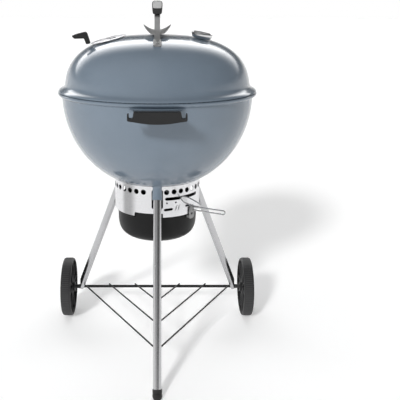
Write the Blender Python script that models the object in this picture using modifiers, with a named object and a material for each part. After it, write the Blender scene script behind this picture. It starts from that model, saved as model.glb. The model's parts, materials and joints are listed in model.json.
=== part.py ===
"""Kettle charcoal grill: an assembly of separate pieces, in metres, +Z up, front towards -Y.

The origin is on the floor, under the axis of the kettle.
"""

import math

import bmesh
import bpy
import numpy as np
from mathutils import Matrix, Vector

# ---- Driving dimensions -----------------------------------------------------------------------
GAP = 0.0003  # clearance between pieces that touch
SHELL_WALL = 0.002

RIM_RADIUS = 0.2952  # outside of the bowl's rolled bead
RIM_HEIGHT = 0.8126  # top of the bead
BEAD_SECTION = (  # (in from the outside, down from the top) round the rolled bead
    (0.0117, 0.0006),
    (0.0052, 0.0000),
    (0.0014, 0.0010),
    (0.0000, 0.0038),
    (0.0014, 0.0076),
    (0.0062, 0.0111),
    (0.0107, 0.0141),
)
BOWL_WALL_RADIUS = 0.2836
BOWL_DEPTH = 0.2910
BOWL_LEVEL = 0.8073
BOWL_POWER = 2.0552
BOWL_ANGLES = (3.5, 14, 27, 41, 53, 64, 74, 82)  # where the wall is bent, down from its level
SHAFT_HOLE_RADIUS = 0.0085

LID_WALL_RADIUS = 0.2751
LID_RISE = 0.1759
LID_LEVEL = 0.7999
LID_POWER = 2.6797
LID_FLARE_RADIUS = 0.0115
LID_FILLET_RADIUS = 0.0080
LID_EDGE_INSET = 0.0007  # lid edge stands this far inside the bead's outside
LID_SEAT_HEIGHT = 0.0004  # lid edge stands this far above the bead's top

LEG_REACH = 0.3526  # distance of the leg axes from the kettle axis, on the floor
LEG_LEAN = 0.4230  # how much nearer the axis for each metre up
LEG_RADIUS = 0.01175
LEG_TUBE_WALL = 0.0015
LEG_TOP = 0.5270
SOCKET_RADIUS = 0.0146
SOCKET_BOTTOM = 0.5080
SOCKET_TOP = 0.5600
FOOT_RADIUS = 0.0138
FOOT_HEIGHT = 0.0185
REAR_LEG_ANGLE = 120  # degrees round from the front leg

WHEEL_RADIUS = 0.1000
WHEEL_WIDTH = 0.0340
WHEEL_OUTSIDE = 0.3279  # outer face of the wheels, from the middle
WHEEL_RIM_WALL = 0.0100
WHEEL_WEB = 0.0040
HUB_RADIUS = 0.0170
AXLE_RADIUS = 0.0047
AXLE_CAP_RADIUS = 0.0110
AXLE_CAP_HEIGHT = 0.0050
SLEEVE_RADIUS = 0.0080
RUNNING_GAP = 0.0006

RACK_WIRE = 0.0023
RACK_TIP_INSET = 0.0025  # the outer V's ends stand this far in from the rear legs
RACK_TIP_AHEAD = 0.0061  # and this far in front of their axes
RACK_INNER_HALVES = (0.1700, 0.0788)  # half widths of the two inner Vs
RACK_OVERHANG = 0.00495  # the inner Vs' ends pass this far behind the axle
RACK_SLOPE = 0.5890  # half width for each metre that a V runs forward

RING_RADIUS = 0.1315
RING_WALL = 0.0015
RING_BOTTOM = 0.4520
RING_TOP = 0.5600
RING_HOLE_RADIUS = 0.0070
RING_HOLE_LEVEL = 0.5250
RING_HOLE_PITCH = 10  # degrees
RING_SLOT_LEVEL = 0.5086
RING_SLOT_RADIUS = 0.0050
RING_SLOT_ENDS = (10, 63)  # degrees round from the front leg
RING_CUTOUT_BOTTOM = 0.4790
RING_CUTOUT_HALF_WIDTH = 0.0168
RING_NOTCH_ENDS = (-31, -2)
RING_NOTCH_HEIGHT = 0.0123

POT_INSET = 0.0096  # the pot's wall stands this far inside the ring's outside
POT_RADIUS = RING_RADIUS - POT_INSET
POT_DEPTH = 0.0940
POT_LEVEL = 0.4520
POT_POWER = 4.44
POT_COLLAR_TOP = 0.4740
POT_LIP_RADIUS = 0.0032
POT_LIP_ENDS = (-110, -33)
LATCH_ANGLE = 50
LATCH_WIDTH = 0.0240
POT_HANDLE_WIRE = 0.0020
POT_HANDLE_ANGLE = 56
POT_HANDLE_REACH = 0.2420
POT_HANDLE_LEVEL = 0.4680
POT_HANDLE_SPREAD = 0.0058

SWEEPER_WIRE = 0.00175
SWEEPER_REACH = 0.2350
SWEEPER_ANGLE = 31
SHAFT_RADIUS = 0.0060
SHAFT_TOP = 0.5340
BLADE_COUNT = 3
BLADE_REACH = 0.1080
BLADE_WIDTH = 0.0300
BLADE_THICKNESS = 0.0018
BLADE_LIFT = 0.0060  # underside of a blade above the bowl's outer surface

GRATE_RADIUS = 0.2700
GRATE_LEVEL = 0.7760
GRATE_WIRE = 0.0025
GRATE_PITCH = 0.0300
FLAP_HINGE = 0.1550
FLAP_HINGE_GAP = 0.0055
CHARCOAL_GRATE_LEVEL = 0.6270
CHARCOAL_GRATE_PITCH = 0.0470
CHARCOAL_GRATE_WIRE = 0.0030
TAB_ANGLES = (25, 155, 205, 335)

HANDLE_REACH = 0.3640
HANDLE_DEPTH = 0.0180
HANDLE_TOP = 0.8043
HANDLE_BOTTOM = 0.7721
HANDLE_HALF_WIDTH = 0.0580
HOOK_HALF_WIDTH = 0.0745
BRACKET_THICKNESS = 0.0025
BRACKET_LEVEL = 0.7955
BRACKET_HALF_WIDTH = 0.0740
BRACKET_FRONT_HALF_WIDTH = 0.0510

GRIP_HALF_LENGTH = 0.1350
GRIP_HALF_WIDTH = 0.0142
GRIP_TOP = 1.0700
GRIP_BOTTOM = 1.0340
GRIP_CAP = 0.0030
STRAP_WIDTH = 0.0155
STRAP_THICKNESS = 0.0030
STRAP_STEM_Y = 0.1180
STRAP_FOOT_WIDTH = 0.0220
STRAP_FOOT_NEAR = 0.1400
STRAP_FOOT_FAR = 0.1860
SHIELD_HALF_WIDTH = 0.0400
SHIELD_HALF_LENGTH = 0.1160
SHIELD_LEVEL = 0.9885
SHIELD_CUP = 10.0
SHIELD_ARCH = 0.7000
SHIELD_THICKNESS = 0.0016

DAMPER_X = -0.1405
DAMPER_Y = -0.0400
DAMPER_RADIUS = 0.0525
DAMPER_THICKNESS = 0.0016
DAMPER_LIFT = 0.0030
DAMPER_DISH = 0.0022
VENT_HOLE_RADIUS = 0.0110
VENT_HOLE_CIRCLE = 0.0300
TAB_WIDTH = 0.0120
TAB_HEIGHT = 0.0360
TAB_ARM = 0.0480

GAUGE_X = 0.1260
GAUGE_Y = -0.0450
GAUGE_RADIUS = 0.0305
GAUGE_HEIGHT = 0.0170
GAUGE_WALL = 0.0030
GAUGE_RECESS = 0.0080
PROBE_RADIUS = 0.0030
PROBE_LENGTH = 0.0420

TURN_STEPS = 30
SMALL_STEPS = 16

FLAT = math.cos(math.pi / TURN_STEPS)  # a turned wall's flats stand this much nearer the axis

parts = bpy.data.collections.new("kettle_grill")
cutters = bpy.data.collections.new("cutters")


# ---- Basics -----------------------------------------------------------------------------------
def clear_scene():
    for obj in list(bpy.data.objects):
        bpy.data.objects.remove(obj)
    bpy.context.scene.collection.children.link(parts)
    bpy.context.scene.collection.children.link(cutters)


def finish_material(name, colour, roughness, metallic):
    material = bpy.data.materials.new(name)
    material.use_nodes = True
    shader = material.node_tree.nodes["Principled BSDF"]
    shader.inputs["Base Color"].default_value = (*colour, 1)
    shader.inputs["Roughness"].default_value = roughness
    shader.inputs["Metallic"].default_value = metallic
    return material


ENAMEL = finish_material("slate_enamel", (0.155, 0.185, 0.215), 0.22, 0.0)
ALUMINIUM = finish_material("aluminium", (0.74, 0.75, 0.77), 0.32, 1.0)
POT_PAINT = finish_material("pot_paint", (0.030, 0.030, 0.034), 0.40, 0.0)
BLACK_NYLON = finish_material("black_nylon", (0.022, 0.023, 0.024), 0.45, 0.0)
WHEEL_PLASTIC = finish_material("wheel_plastic", (0.040, 0.040, 0.042), 0.60, 0.0)
BLACK_WIRE = finish_material("black_wire", (0.045, 0.047, 0.050), 0.40, 0.3)
ZINC_WIRE = finish_material("zinc_wire", (0.62, 0.63, 0.64), 0.30, 1.0)
STRAP_STEEL = finish_material("strap_steel", (0.20, 0.20, 0.20), 0.40, 0.6)
CHROME = finish_material("chrome", (0.80, 0.81, 0.82), 0.08, 1.0)
GRATE_STEEL = finish_material("grate_steel", (0.55, 0.55, 0.56), 0.30, 1.0)
DIAL_WHITE = finish_material("dial_white", (0.85, 0.85, 0.84), 0.50, 0.0)
LENS = finish_material("lens", (0.90, 0.92, 0.93), 0.03, 0.0)
CAP_GREY = finish_material("cap_grey", (0.30, 0.30, 0.30), 0.35, 0.4)


def place(obj, material, is_cutter=False):
    (cutters if is_cutter else parts).objects.link(obj)
    if is_cutter:
        obj.hide_render = True
        obj.display_type = "WIRE"
    else:
        obj.data.materials.append(material)
    return obj


def from_bmesh(name, mesh_data, material=None):
    """A new object that takes the bmesh. With no material it is a cutter."""
    bmesh.ops.recalc_face_normals(mesh_data, faces=mesh_data.faces)
    mesh = bpy.data.meshes.new(name)
    mesh_data.to_mesh(mesh)
    mesh_data.free()
    obj = place(bpy.data.objects.new(name, mesh), material, material is None)
    mesh.shade_smooth()
    mesh.set_sharp_from_angle(angle=math.radians(35))
    return obj


def empty(name, matrix):
    pivot = bpy.data.objects.new(name, None)
    parts.objects.link(pivot)
    pivot.matrix_world = matrix
    return pivot


def hang(obj, pivot, local=None):
    """Parents the object to the pivot. Its own placing, or the local matrix, is read in that frame."""
    local = obj.matrix_basis.copy() if local is None else local
    obj.parent = pivot
    obj.matrix_local = local
    return obj


def around(angle, radius=0.0, height=0.0):
    """A point at this many degrees round from the front, at this distance from the axis."""
    turn = math.radians(angle)
    return Vector((radius * math.sin(turn), -radius * math.cos(turn), height))


def turned(name, profile, material=None, wall=0.0, closed=False, steps=TURN_STEPS):
    """The (radius, height) profile, turned about Z. It runs top to bottom down its outer side."""
    data = bmesh.new()
    points = [data.verts.new((radius, 0, height)) for radius, height in profile]
    for first, second in zip(points, points[1:]):
        data.edges.new((first, second))
    if closed:
        data.edges.new((points[-1], points[0]))
    mesh = bpy.data.meshes.new(name)
    data.to_mesh(mesh)
    data.free()
    obj = place(bpy.data.objects.new(name, mesh), material, material is None)
    screw = obj.modifiers.new("turn", "SCREW")
    screw.steps = steps
    screw.render_steps = steps
    screw.use_merge_vertices = True
    screw.merge_threshold = 0.0001
    screw.use_smooth_shade = True
    if wall:
        solidify = obj.modifiers.new("wall", "SOLIDIFY")
        solidify.thickness = wall
        solidify.offset = -1
        solidify.use_even_offset = True
    return obj


def cylinder(name, radius, depth, matrix, material=None, steps=SMALL_STEPS, end_radius=None):
    """A cylinder from the matrix's origin along its +Z."""
    data = bmesh.new()
    bmesh.ops.create_cone(
        data,
        cap_ends=True,
        segments=steps,
        radius1=radius,
        radius2=radius if end_radius is None else end_radius,
        depth=depth,
        matrix=Matrix.Translation((0, 0, depth / 2)),
    )
    obj = from_bmesh(name, data, material)
    obj.matrix_world = matrix
    return obj


def block(name, size, matrix, material=None, bevel=0.0):
    """A box centred on the matrix's origin."""
    data = bmesh.new()
    bmesh.ops.create_cube(data, size=1.0)
    bmesh.ops.scale(data, vec=size, verts=data.verts)
    obj = from_bmesh(name, data, material)
    obj.matrix_world = matrix
    if bevel:
        modifier = obj.modifiers.new("rounding", "BEVEL")
        modifier.width = bevel
        modifier.segments = 2
    return obj


def plate(name, outline, thickness, matrix, material=None, bevel=0.0):
    """A flat outline of (x, y) points, extruded half its thickness each way along Z."""
    curve = bpy.data.curves.new(name, "CURVE")
    curve.dimensions = "2D"
    curve.fill_mode = "BOTH"
    curve.extrude = thickness / 2
    spline = curve.splines.new("POLY")
    spline.points.add(len(outline) - 1)
    for point, (x, y) in zip(spline.points, outline):
        point.co = (x, y, 0, 1)
    spline.use_cyclic_u = True
    obj = place(bpy.data.objects.new(name, curve), material, material is None)
    obj.matrix_world = matrix
    if bevel:
        weld = obj.modifiers.new("weld", "WELD")
        weld.merge_threshold = 0.00001
        modifier = obj.modifiers.new("rounding", "BEVEL")
        modifier.width = bevel
        modifier.segments = 1
    return obj


def tube(name, points, radius, material=None, cyclic=False):
    curve = bpy.data.curves.new(name, "CURVE")
    curve.dimensions = "3D"
    curve.bevel_depth = radius
    curve.bevel_resolution = 2
    curve.use_fill_caps = True
    spline = curve.splines.new("POLY")
    spline.points.add(len(points) - 1)
    for point, place_at in zip(spline.points, points):
        point.co = (*place_at, 1)
    spline.use_cyclic_u = cyclic
    return place(bpy.data.objects.new(name, curve), material, material is None)


def as_mesh(obj):
    """Turns a curve object into a mesh object of the same name, with its caps welded."""
    bpy.context.view_layer.update()
    graph = bpy.context.evaluated_depsgraph_get()
    mesh = bpy.data.meshes.new_from_object(obj.evaluated_get(graph))
    data = bmesh.new()
    data.from_mesh(mesh)
    bmesh.ops.remove_doubles(data, verts=data.verts, dist=0.00001)
    bmesh.ops.recalc_face_normals(data, faces=data.faces)
    data.to_mesh(mesh)
    data.free()
    name, home, matrix = obj.name, obj.users_collection[0], obj.matrix_world.copy()
    hidden, curve = obj.hide_render, obj.data
    bpy.data.objects.remove(obj)
    bpy.data.curves.remove(curve)
    made = bpy.data.objects.new(name, mesh)
    home.objects.link(made)
    made.matrix_world = matrix
    made.hide_render = hidden
    made.display_type = "WIRE" if hidden else "TEXTURED"
    return made


def boolean(target, other, operation):
    modifier = target.modifiers.new(operation.lower(), "BOOLEAN")
    modifier.operation = operation
    modifier.object = other
    return target


def cut(target, *others):
    for other in others:
        boolean(target, other, "DIFFERENCE")
    return target


def join(target, *others):
    for other in others:
        boolean(target, other, "UNION")
    return target


def axis_matrix(origin, direction):
    """A frame at the origin whose +Z points along the direction."""
    turn = Vector(direction).to_track_quat("Z", "Y").to_matrix().to_4x4()
    return Matrix.Translation(origin) @ turn


def arc(centre, radius, start, end, count):
    """Points (radius, height) on a circle round the centre, by degrees from outwards."""
    turns = np.radians(np.linspace(start, end, count))
    return [(centre[0] + radius * math.cos(t), centre[1] + radius * math.sin(t)) for t in turns]


# ---- Curves of the kettle ---------------------------------------------------------------------
def lid_height(radius):
    return LID_LEVEL + LID_RISE * (1 - (radius / LID_WALL_RADIUS) ** LID_POWER) ** (1 / LID_POWER)


def bowl_height(radius):
    share = (radius / BOWL_WALL_RADIUS) ** BOWL_POWER
    return BOWL_LEVEL - BOWL_DEPTH * (1 - share) ** (1 / BOWL_POWER)


def superellipse(radius, level, rise, power, angles):
    """Points on a superellipse by degrees up from its widest level. A negative rise goes down."""
    turns = np.radians(angles)
    across = radius * np.abs(np.cos(turns)) ** (2 / power)
    up = level + rise * np.abs(np.sin(turns)) ** (2 / power)
    return [(float(r) if r > 1e-5 else 0.0, float(z)) for r, z in zip(across, up)]


def lid_profile():
    """Crown, wall, a fillet that turns out, and the flare that covers the bowl's bead."""
    edge_radius = RIM_RADIUS - LID_EDGE_INSET
    edge_height = RIM_HEIGHT + LID_SEAT_HEIGHT
    crown = superellipse(
        LID_WALL_RADIUS, LID_LEVEL, LID_RISE, LID_POWER, (90, 80, 70, 58, 45, 30, 16, 7)
    )
    wall_radius = crown[-1][0]
    flare_centre = Vector((edge_radius - LID_FLARE_RADIUS, edge_height))
    across = wall_radius + LID_FILLET_RADIUS - flare_centre.x
    reach = LID_FILLET_RADIUS + LID_FLARE_RADIUS
    fillet_height = edge_height + math.sqrt(reach**2 - across**2)
    fillet_centre = Vector((wall_radius + LID_FILLET_RADIUS, fillet_height))
    meet = math.degrees(math.atan2(fillet_centre.y - flare_centre.y, across))
    fillet = arc(fillet_centre, LID_FILLET_RADIUS, 180, 180 + meet, 3)
    flare = arc(flare_centre, LID_FLARE_RADIUS, meet, 0, 4)
    return crown[:-1] + fillet + flare[1:]


def bowl_wall():
    return superellipse(BOWL_WALL_RADIUS, BOWL_LEVEL, -BOWL_DEPTH, BOWL_POWER, BOWL_ANGLES)


def bowl_profile():
    """The bead, from its inner lip over and down, then the wall to the hole at the bottom."""
    bead = [(RIM_RADIUS - inward, RIM_HEIGHT - down) for inward, down in BEAD_SECTION]
    return bead + bowl_wall() + [(SHAFT_HOLE_RADIUS, bowl_height(SHAFT_HOLE_RADIUS))]


def bowl_inside(height):
    """How far out the flats of the bowl's inner wall stand at a height."""
    radii, heights = zip(*bowl_wall())
    return float(np.interp(height, heights[::-1], radii[::-1])) * FLAT - SHELL_WALL


def bowl_envelope(name):
    """A solid just larger than the bowl's outside, which trims what meets the bowl."""
    outside = superellipse(
        BOWL_WALL_RADIUS + 2 * GAP, BOWL_LEVEL, -BOWL_DEPTH - 2 * GAP, BOWL_POWER, BOWL_ANGLES + (90,)
    )
    return turned(name, [(0.0, outside[0][1] + 0.01), (outside[0][0], outside[0][1] + 0.01)] + outside)


def leg_point(angle, height):
    return around(angle, LEG_REACH - LEG_LEAN * height, height)


def leg_direction(angle):
    return (leg_point(angle, 1.0) - leg_point(angle, 0.0)).normalized()


def leg_matrix(angle, height):
    return axis_matrix(leg_point(angle, height), leg_direction(angle))


def leg_span(low, high):
    """Length along a leg between two heights."""
    return (high - low) * math.sqrt(1 + LEG_LEAN**2)


# ---- Bowl and stand ---------------------------------------------------------------------------
def make_bowl():
    bowl = turned("bowl_shell", bowl_profile(), ENAMEL, wall=SHELL_WALL)
    for number in range(BLADE_COUNT):
        angle = 60 + number * 360 / BLADE_COUNT
        vent = block(
            f"bowl_vent_{number}",
            (0.018, 0.048, 0.060),
            Matrix.Translation(around(angle, 0.062, bowl_height(0.062)))
            @ Matrix.Rotation(math.radians(angle), 4, "Z"),
            bevel=0.006,
        )
        cut(bowl, vent)
    return bowl


def make_legs(envelope):
    sides = {"front": 0, "right": REAR_LEG_ANGLE, "left": -REAR_LEG_ANGLE}
    for side, angle in sides.items():
        socket = cylinder(
            f"leg_socket_{side}",
            SOCKET_RADIUS,
            leg_span(SOCKET_BOTTOM, SOCKET_TOP),
            leg_matrix(angle, SOCKET_BOTTOM),
            ENAMEL,
        )
        bore = cylinder(
            f"socket_bore_{side}",
            LEG_RADIUS + GAP,
            leg_span(SOCKET_BOTTOM - 0.01, LEG_TOP) + GAP,
            leg_matrix(angle, SOCKET_BOTTOM - 0.01),
        )
        cut(socket, envelope, bore)
    make_front_leg()
    for side, angle in (("right", REAR_LEG_ANGLE), ("left", -REAR_LEG_ANGLE)):
        make_rear_leg(side, angle)


def make_front_leg():
    bottom = 0.0060
    leg = cylinder("front_leg", LEG_RADIUS, leg_span(bottom, LEG_TOP), leg_matrix(0, bottom), ALUMINIUM)
    hollow = cylinder(
        "front_leg_hollow",
        LEG_RADIUS - LEG_TUBE_WALL,
        leg_span(bottom - 0.02, LEG_TOP + 0.02),
        leg_matrix(0, bottom - 0.02),
    )
    cut(leg, hollow)
    foot = cylinder(
        "front_foot", FOOT_RADIUS, leg_span(-0.02, FOOT_HEIGHT), leg_matrix(0, -0.02), BLACK_NYLON
    )
    well = cylinder(
        "foot_well", LEG_RADIUS + GAP, leg_span(bottom - GAP, 0.06), leg_matrix(0, bottom - GAP)
    )
    floor = block("foot_floor", (0.1, 0.1, 0.1), Matrix.Translation((0, -LEG_REACH, -0.05)))
    cut(foot, well, floor)


def make_rear_leg(side, angle):
    """A tube that ends in a flat tongue round the axle. Its outer side is cut upright."""
    outward = math.copysign(1, angle)
    axle_at = leg_point(angle, WHEEL_RADIUS)
    bottom = WHEEL_RADIUS - 0.004
    leg = cylinder(
        f"rear_leg_{side}", LEG_RADIUS, leg_span(bottom, LEG_TOP), leg_matrix(angle, bottom), ALUMINIUM
    )
    slice_off = block(
        f"rear_leg_slice_{side}",
        (0.10, 0.10, 0.20),
        Matrix.Translation((axle_at.x + outward * (0.05 + 0.001), axle_at.y, WHEEL_RADIUS)),
    )
    tongue = cylinder(
        f"rear_leg_tongue_{side}",
        0.0100,
        0.0030,
        axis_matrix((axle_at.x - outward * 0.0015, axle_at.y, WHEEL_RADIUS), (outward, 0, 0)),
    )
    axle_bore = cylinder(
        f"rear_leg_bore_{side}",
        AXLE_RADIUS + GAP,
        0.10,
        axis_matrix((axle_at.x - 0.05, axle_at.y, WHEEL_RADIUS), (1, 0, 0)),
    )
    cut(leg, slice_off)
    join(leg, tongue)
    cut(leg, axle_bore)
    plug_at = leg_point(angle, 0.176)
    facing = Vector((outward * 0.90, -0.44, 0)).normalized()
    plug = cylinder(
        f"rear_leg_plug_{side}",
        0.0080,
        0.0045,
        axis_matrix(plug_at + facing * (LEG_RADIUS + 2 * GAP + 0.0016), facing),
        BLACK_NYLON,
        steps=12,
        end_radius=0.0050,
    )
    return leg, plug


def axle_line(x):
    return Vector((x, leg_point(REAR_LEG_ANGLE, WHEEL_RADIUS).y, WHEEL_RADIUS))


def make_axle():
    tip = WHEEL_OUTSIDE - 0.0065
    cylinder("axle", AXLE_RADIUS, 2 * tip, axis_matrix(axle_line(-tip), (1, 0, 0)), BLACK_WIRE)
    inner = leg_point(REAR_LEG_ANGLE, WHEEL_RADIUS).x + 0.0015 + GAP
    outer = WHEEL_OUTSIDE - WHEEL_WIDTH - RUNNING_GAP - 0.004
    for side, outward in (("right", 1), ("left", -1)):
        sleeve = cylinder(
            f"axle_sleeve_{side}",
            SLEEVE_RADIUS,
            outer - inner,
            axis_matrix(axle_line(outward * inner), (outward, 0, 0)),
            BLACK_NYLON,
        )
        bore = cylinder(
            f"sleeve_bore_{side}",
            AXLE_RADIUS + GAP,
            0.10,
            axis_matrix(axle_line(outward * (inner - 0.03)), (outward, 0, 0)),
        )
        cut(sleeve, bore)
        cylinder(
            f"axle_cap_{side}",
            AXLE_CAP_RADIUS,
            AXLE_CAP_HEIGHT,
            axis_matrix(axle_line(outward * (tip + GAP)), (outward, 0, 0)),
            BLACK_NYLON,
            end_radius=AXLE_CAP_RADIUS * 0.7,
        )


def make_wheel(side, outward):
    """A one-piece wheel: tread ring, web and hub, about its own axis."""
    frame = axis_matrix(axle_line(outward * (WHEEL_OUTSIDE - WHEEL_WIDTH)), (outward, 0, 0))
    pivot = empty(f"wheel_{side}_axis", frame)
    bore = AXLE_RADIUS + RUNNING_GAP
    inside = WHEEL_RADIUS - WHEEL_RIM_WALL
    hub_end = WHEEL_WIDTH - 0.0095
    profile = [
        (WHEEL_RADIUS - 0.003, WHEEL_WIDTH),
        (WHEEL_RADIUS, WHEEL_WIDTH - 0.003),
        (WHEEL_RADIUS, 0.003),
        (WHEEL_RADIUS - 0.003, 0.0),
        (inside, 0.0),
        (inside, WHEEL_WIDTH / 2 - WHEEL_WEB / 2),
        (HUB_RADIUS, WHEEL_WIDTH / 2 - WHEEL_WEB / 2),
        (HUB_RADIUS, -0.004),
        (bore, -0.004),
        (bore, hub_end),
        (HUB_RADIUS, hub_end),
        (HUB_RADIUS, WHEEL_WIDTH / 2 + WHEEL_WEB / 2),
        (inside, WHEEL_WIDTH / 2 + WHEEL_WEB / 2),
        (inside, WHEEL_WIDTH),
    ]
    return hang(turned(f"wheel_{side}", profile, WHEEL_PLASTIC, closed=True), pivot)


def rack_tips(level):
    """(half width, y) of each V's ends: the outer V by the rear legs, the others over the axle."""
    leg = leg_point(REAR_LEG_ANGLE, level)
    over_axle = leg_point(REAR_LEG_ANGLE, WHEEL_RADIUS).y + RACK_OVERHANG
    outer = (leg.x - LEG_RADIUS - RACK_TIP_INSET, leg.y - RACK_TIP_AHEAD)
    return [outer] + [(half, over_axle) for half in RACK_INNER_HALVES]


def make_rack():
    """Three nested V wires on a middle wire. The inner ones lie on the axle."""
    level = WHEEL_RADIUS + AXLE_RADIUS + RACK_WIRE + GAP
    leg_half = LEG_RADIUS * math.sqrt(1 + LEG_LEAN**2)
    front = -(LEG_REACH - LEG_LEAN * level) + leg_half + RACK_WIRE * LEG_LEAN + GAP
    tips = rack_tips(level)
    back = tips[-1][1]
    middle = as_mesh(
        tube("wire_rack", [(0, front, level - 0.0011), (0, back, level)], RACK_WIRE * 0.96, BLACK_WIRE)
    )
    for number, (half, y) in enumerate(tips):
        apex = max(y - half / RACK_SLOPE, front + 0.006)
        corners = [(-half, y, level), (0, apex, level), (half, y, level)]
        wire = tube(f"rack_v_{number}", corners, RACK_WIRE)
        join(middle, as_mesh(wire))
    return middle


# ---- Ash ring, pot and sweeper ----------------------------------------------------------------
def arc_path(radius, height, start, end, count):
    return [around(angle, radius, height) for angle in np.linspace(start, end, count)]


def arc_cutter(name, height, start, end, radius, count=8):
    """A round bar bent along the ring's wall, which cuts a long slot through it."""
    return as_mesh(tube(name, arc_path(RING_RADIUS - RING_WALL / 2, height, start, end, count), radius))


def prism_row(name, angles, height, radius):
    """Short radial bars at each angle, in one cutter."""
    data = bmesh.new()
    for angle in angles:
        direction = around(angle, 1.0)
        bmesh.ops.create_cone(
            data,
            cap_ends=True,
            segments=6,
            radius1=radius,
            radius2=radius,
            depth=0.012,
            matrix=axis_matrix(around(angle, RING_RADIUS, height), direction),
        )
    return from_bmesh(name, data)


def make_ash_ring(envelope):
    inner = RING_RADIUS - RING_WALL
    profile = [
        (RING_RADIUS, RING_TOP),
        (RING_RADIUS, RING_BOTTOM),
        (inner, RING_BOTTOM),
        (inner, RING_TOP),
    ]
    ring = turned("ash_ring", profile, ALUMINIUM, closed=True, steps=46)
    legs = (0, REAR_LEG_ANGLE, -REAR_LEG_ANGLE)
    angles = [
        angle
        for angle in range(12, 350, RING_HOLE_PITCH)
        if all(abs((angle - leg + 180) % 360 - 180) > RING_HOLE_PITCH for leg in legs)
    ]
    cut(ring, envelope, prism_row("ring_holes", angles, RING_HOLE_LEVEL, RING_HOLE_RADIUS))
    for leg in legs:
        height = RING_TOP - RING_CUTOUT_BOTTOM
        cutout = block(
            f"ring_cutout_{leg}",
            (2 * RING_CUTOUT_HALF_WIDTH, 0.03, height),
            Matrix.Translation(around(leg, RING_RADIUS, RING_CUTOUT_BOTTOM + height / 2 + 0.001))
            @ Matrix.Rotation(math.radians(leg), 4, "Z"),
        )
        cut(ring, cutout)
    cut(ring, arc_cutter("ring_slot", RING_SLOT_LEVEL, *RING_SLOT_ENDS, RING_SLOT_RADIUS, 10))
    cut(ring, arc_cutter("ring_low_slot", 0.4765, 9, 19, 0.0026))
    cut(ring, arc_cutter("ring_latch_slot", 0.4800, 39, 46, 0.0030))
    cut(ring, prism_row("ring_dots", (12.5, 24.5), 0.4962, 0.0022))
    notch = arc_cutter("ring_notch", RING_BOTTOM, *RING_NOTCH_ENDS, RING_NOTCH_HEIGHT)
    return cut(ring, notch)


def make_ash_pot(pivot):
    """A deep pan with a collar that stands inside the ring, and a lip along its left side."""
    pan = superellipse(POT_RADIUS, POT_LEVEL, -POT_DEPTH, POT_POWER, (0, 10, 22, 34, 45, 56, 68, 80, 90))
    collar = RING_RADIUS - RING_WALL - 0.0010
    rim = [(collar, POT_COLLAR_TOP), (collar, POT_COLLAR_TOP - 0.003), (POT_RADIUS, POT_COLLAR_TOP - 0.010)]
    pot = turned("ash_pot", rim + pan, POT_PAINT, wall=0.0015)
    lip_level = RING_BOTTOM - POT_LIP_RADIUS - 0.001
    path = arc_path(POT_RADIUS + POT_LIP_RADIUS * 0.8, lip_level, *POT_LIP_ENDS, 7)
    lip = as_mesh(tube("pot_lip", path, POT_LIP_RADIUS))
    join(hang(pot, pivot), lip)
    make_pot_latch(pivot)
    make_pot_handle(pivot)


def make_pot_latch(pivot):
    """A bent plate on the pot's side, which holds the ends of the wire handle."""
    inner = RING_RADIUS + 0.0025
    turn = Matrix.Rotation(math.radians(LATCH_ANGLE), 4, "Z")
    low, high = 0.4360, 0.4790
    upright = block(
        "ash_pot_latch",
        (LATCH_WIDTH, 0.0016, high - low),
        turn @ Matrix.Translation((0, -inner - 0.0008, (low + high) / 2)),
        STRAP_STEEL,
    )
    reach = inner + 0.0012 - (POT_RADIUS + GAP * 3)
    foot = block(
        "latch_foot",
        (LATCH_WIDTH - 0.004, reach, 0.008),
        turn @ Matrix.Translation((0, -(POT_RADIUS + GAP * 3 + reach / 2), 0.4425)),
    )
    pot_outside = turned(
        "latch_trim",
        [(0.0, POT_COLLAR_TOP), (POT_RADIUS + GAP * 2, POT_COLLAR_TOP), (POT_RADIUS + GAP * 2, 0.42), (0.0, 0.42)],
    )
    join(upright, foot)
    cut(upright, pot_outside)
    return hang(upright, pivot)


def make_pot_handle(pivot):
    """A hairpin of wire in an upright plane, with both ends at the latch plate."""
    start = RING_RADIUS + 0.0025 + 0.0016 + POT_HANDLE_WIRE + GAP
    direction = (around(POT_HANDLE_ANGLE, POT_HANDLE_REACH) - around(LATCH_ANGLE, start)).normalized()
    root = around(LATCH_ANGLE, start, POT_HANDLE_LEVEL)
    length = (around(POT_HANDLE_ANGLE, POT_HANDLE_REACH, POT_HANDLE_LEVEL) - root).length
    spread = POT_HANDLE_SPREAD
    points = [root + Vector((0, 0, spread * 0.8))]
    points.append(root + direction * length * 0.35 + Vector((0, 0, spread)))
    for angle in np.linspace(90, -90, 5):
        turn = math.radians(angle)
        along = direction * (length - spread + spread * math.cos(turn))
        points.append(root + along + Vector((0, 0, spread * math.sin(turn))))
    points.append(root + direction * length * 0.35 - Vector((0, 0, spread)))
    points.append(root - Vector((0, 0, spread * 0.8)))
    return hang(tube("ash_pot_handle", points, POT_HANDLE_WIRE, ZINC_WIRE), pivot)


def make_sweeper(pivot):
    level = RING_SLOT_LEVEL
    shaft = cylinder(
        "sweeper_shaft",
        SHAFT_RADIUS,
        SHAFT_TOP - (level - 0.006),
        Matrix.Translation((0, 0, level - 0.006)),
        STRAP_STEEL,
    )
    hub = cylinder(
        "sweeper_hub", 0.0170, 0.0060, Matrix.Translation((0, 0, bowl_height(0.017) + BLADE_LIFT + 0.0005))
    )
    join(hang(shaft, pivot), hub)
    for number in range(BLADE_COUNT):
        make_blade(pivot, number)
    make_sweeper_handle(pivot, level)


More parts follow.
